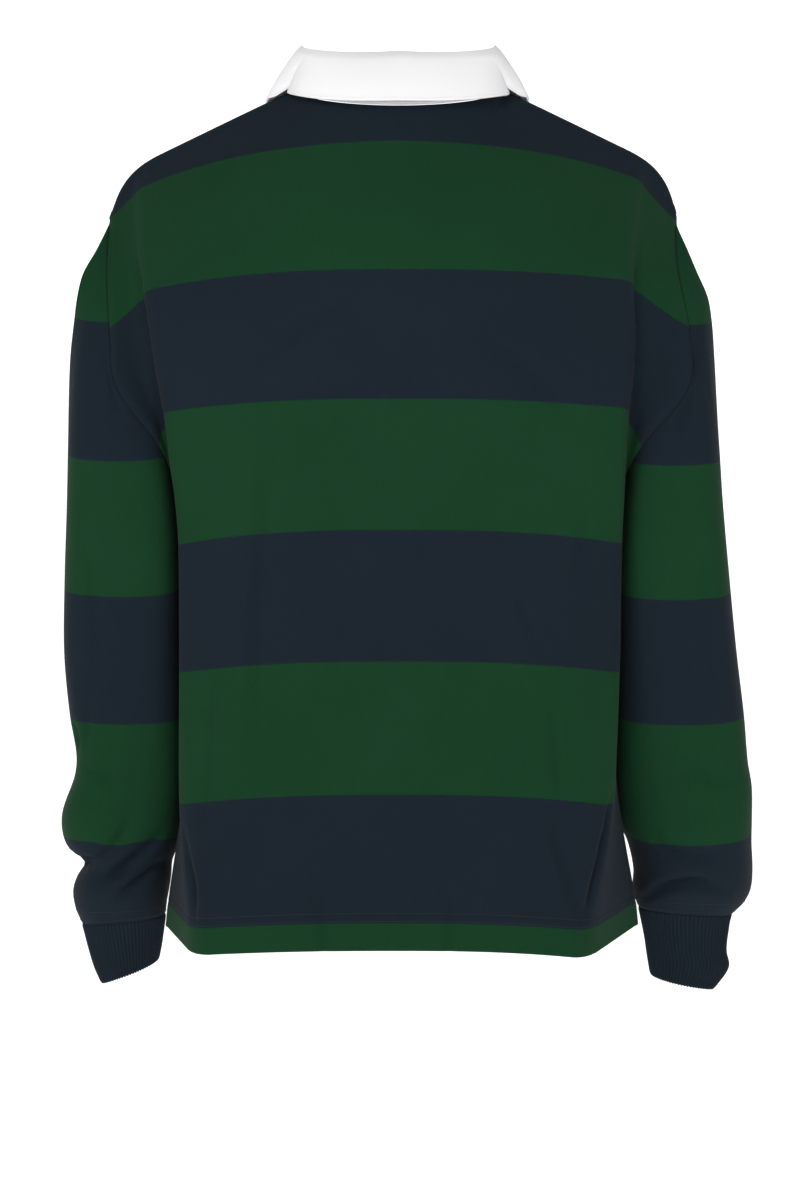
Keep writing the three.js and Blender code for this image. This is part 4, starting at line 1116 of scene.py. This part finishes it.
rubber = rubber_material()
holes = [(x, y) for x in (-HOLE_APART, HOLE_APART) for y in (-HOLE_APART, HOLE_APART)]
cutter_co, cutter_faces = [], []
for x, y in holes:
    co, quads = turned([(0, 0), (1, 0), (1, 1), (0, 1)], HOLE_RADIUS, 6, 16)
    cutter_faces += [tuple(i + len(cutter_co) for i in quad) for quad in quads]
    cutter_co += [(px + x, py + y, pz - 1) for px, py, pz in co]
cutter = plain_object("hole_cutter", cutter_co, cutter_faces)
loop_rows = []
for index, level in enumerate(BUTTON_LEVELS, 1):
    name = f"placket_button_{index}"
    piece = plain_object(f"{name}_made", *turned(BUTTON_PROFILE, BUTTON_RADIUS, BUTTON_THICKNESS, 48))
    modifier = piece.modifiers.new("holes", "BOOLEAN")
    modifier.operation = "DIFFERENCE"
    modifier.solver = "EXACT"
    modifier.object = cutter
    mesh = bpy.data.meshes.new_from_object(piece.evaluated_get(bpy.context.evaluated_depsgraph_get()))
    piece.modifiers.remove(modifier)
    piece.data = mesh
    at = np.array([level], float)
    base = placket_points(placket_over_lift + BUTTON_CLEARANCE, 0, at)[0]
    below, above = (placket_points(placket_over_lift + lift, 0, at)[0] for lift in (0, 1))
    axis = unit(above - below)
    turn = Vector((0, 0, 1)).rotation_difference(Vector(axis)).to_matrix().to_4x4()
    mesh.transform(Matrix.Translation(Vector(base) * MM) @ turn)
    mesh.shade_smooth()
    mesh.set_sharp_from_angle(angle=math.radians(40))
    mesh.materials.clear()
    mesh.materials.append(rubber)
    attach(piece, "root")
    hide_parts(name)
    sideways = np.array(turn.to_3x3() @ Vector((1, 0, 0)))
    upward = np.array(turn.to_3x3() @ Vector((0, 1, 0)))
    face_height = BUTTON_THICKNESS * BUTTON_FACE
    for y in (-HOLE_APART, HOLE_APART):
        middle = base + axis * face_height + upward * y
        ends = middle + sideways * np.array([[-HOLE_APART], [HOLE_APART]])
        loop_rows.append((ends, np.stack([axis, axis])))
bpy.data.objects.remove(cutter)
stitched("button_threads", loop_rows, navy_thread, length=3.4, radius=0.34, pitch=2.9)

hole_rows = []
for level in BUTTON_LEVELS:
    for offset in (-0.9, 0.9):
        hole_rows.append(on_band(np.linspace(-0.56, 0.56, 14), level + offset))
stitched(
    "buttonhole_stitches", hole_rows, navy_thread,
    length=1.7, radius=0.17, pitch=0.5, crosswise=True,
)

# Floor, light and camera: a pale cove, two soft square lights on the camera's side and a pale sky.
world = bpy.data.worlds.new("studio")
bpy.context.scene.world = world
world.use_nodes = True
world.node_tree.nodes.clear()
sky = world.node_tree.nodes.new("ShaderNodeBackground")
sky.inputs["Color"].default_value = (1, 1, 1, 1)
sky.inputs["Strength"].default_value = 0.34
world.node_tree.links.new(sky.outputs[0], world.node_tree.nodes.new("ShaderNodeOutputWorld").inputs[0])
FLOOR_Z, FLOOR_END_Y, FLOOR_SIDE_X = -1.48, 70, 40
WALL_Y, WALL_TOP, CURVE = -8, 7, 2.4
arc = [math.radians(90 * k / 16) for k in range(17)]
profile = [(FLOOR_END_Y, FLOOR_Z)]
profile += [(WALL_Y + CURVE * (1 - math.sin(a)), FLOOR_Z + CURVE * (1 - math.cos(a))) for a in arc]
profile += [(WALL_Y, WALL_TOP)]
backdrop = [(x, y, z) for y, z in profile for x in (-FLOOR_SIDE_X, FLOOR_SIDE_X)]
strips = [(2 * k, 2 * k + 1, 2 * k + 3, 2 * k + 2) for k in range(len(profile) - 1)]
mesh = bpy.data.meshes.new("floor")
mesh.from_pydata(backdrop, [], [strip[::-1] for strip in strips])
mesh.shade_smooth()
floor = bpy.data.objects.new("floor", mesh)
bpy.context.scene.collection.objects.link(floor)
pale, node, maths = painter("pale_floor")
values = {
    "Base Color": (0.82, 0.82, 0.82, 1), "Roughness": 0.9, "Specular IOR Level": 0.1,
    "Emission Color": (1, 1, 1, 1), "Emission Strength": 0.66,
}
surface = node("ShaderNodeBsdfPrincipled", values).outputs[0]
node("ShaderNodeOutputMaterial", {"Surface": surface})
mesh.materials.append(pale)
for name, place, size, power in (
    ("key", (1.5, 3.7, 1.7), 1.8, 76),
    ("fill", (-1.0, 4.3, 0.2), 2.4, 40),
):
    light = bpy.data.lights.new(name, "AREA")
    light.shape = "SQUARE"
    light.size = size
    light.energy = power
    lamp = bpy.data.objects.new(name, light)
    lamp.location = place
    lamp.rotation_euler = (Vector((0, 0, -0.4)) - Vector(place)).to_track_quat("-Z", "Y").to_euler()
    bpy.context.scene.collection.objects.link(lamp)
bpy.context.scene.view_settings.view_transform = "Standard"
camera = bpy.data.cameras.new("camera")
camera.lens = 123.1
camera.sensor_width = 36
viewer = bpy.data.objects.new("camera", camera)
viewer.location = (-0.0013, 3.5, -0.426)
viewer.rotation_euler = (math.radians(90), 0, math.radians(180))
bpy.context.scene.collection.objects.link(viewer)
bpy.context.scene.camera = viewer
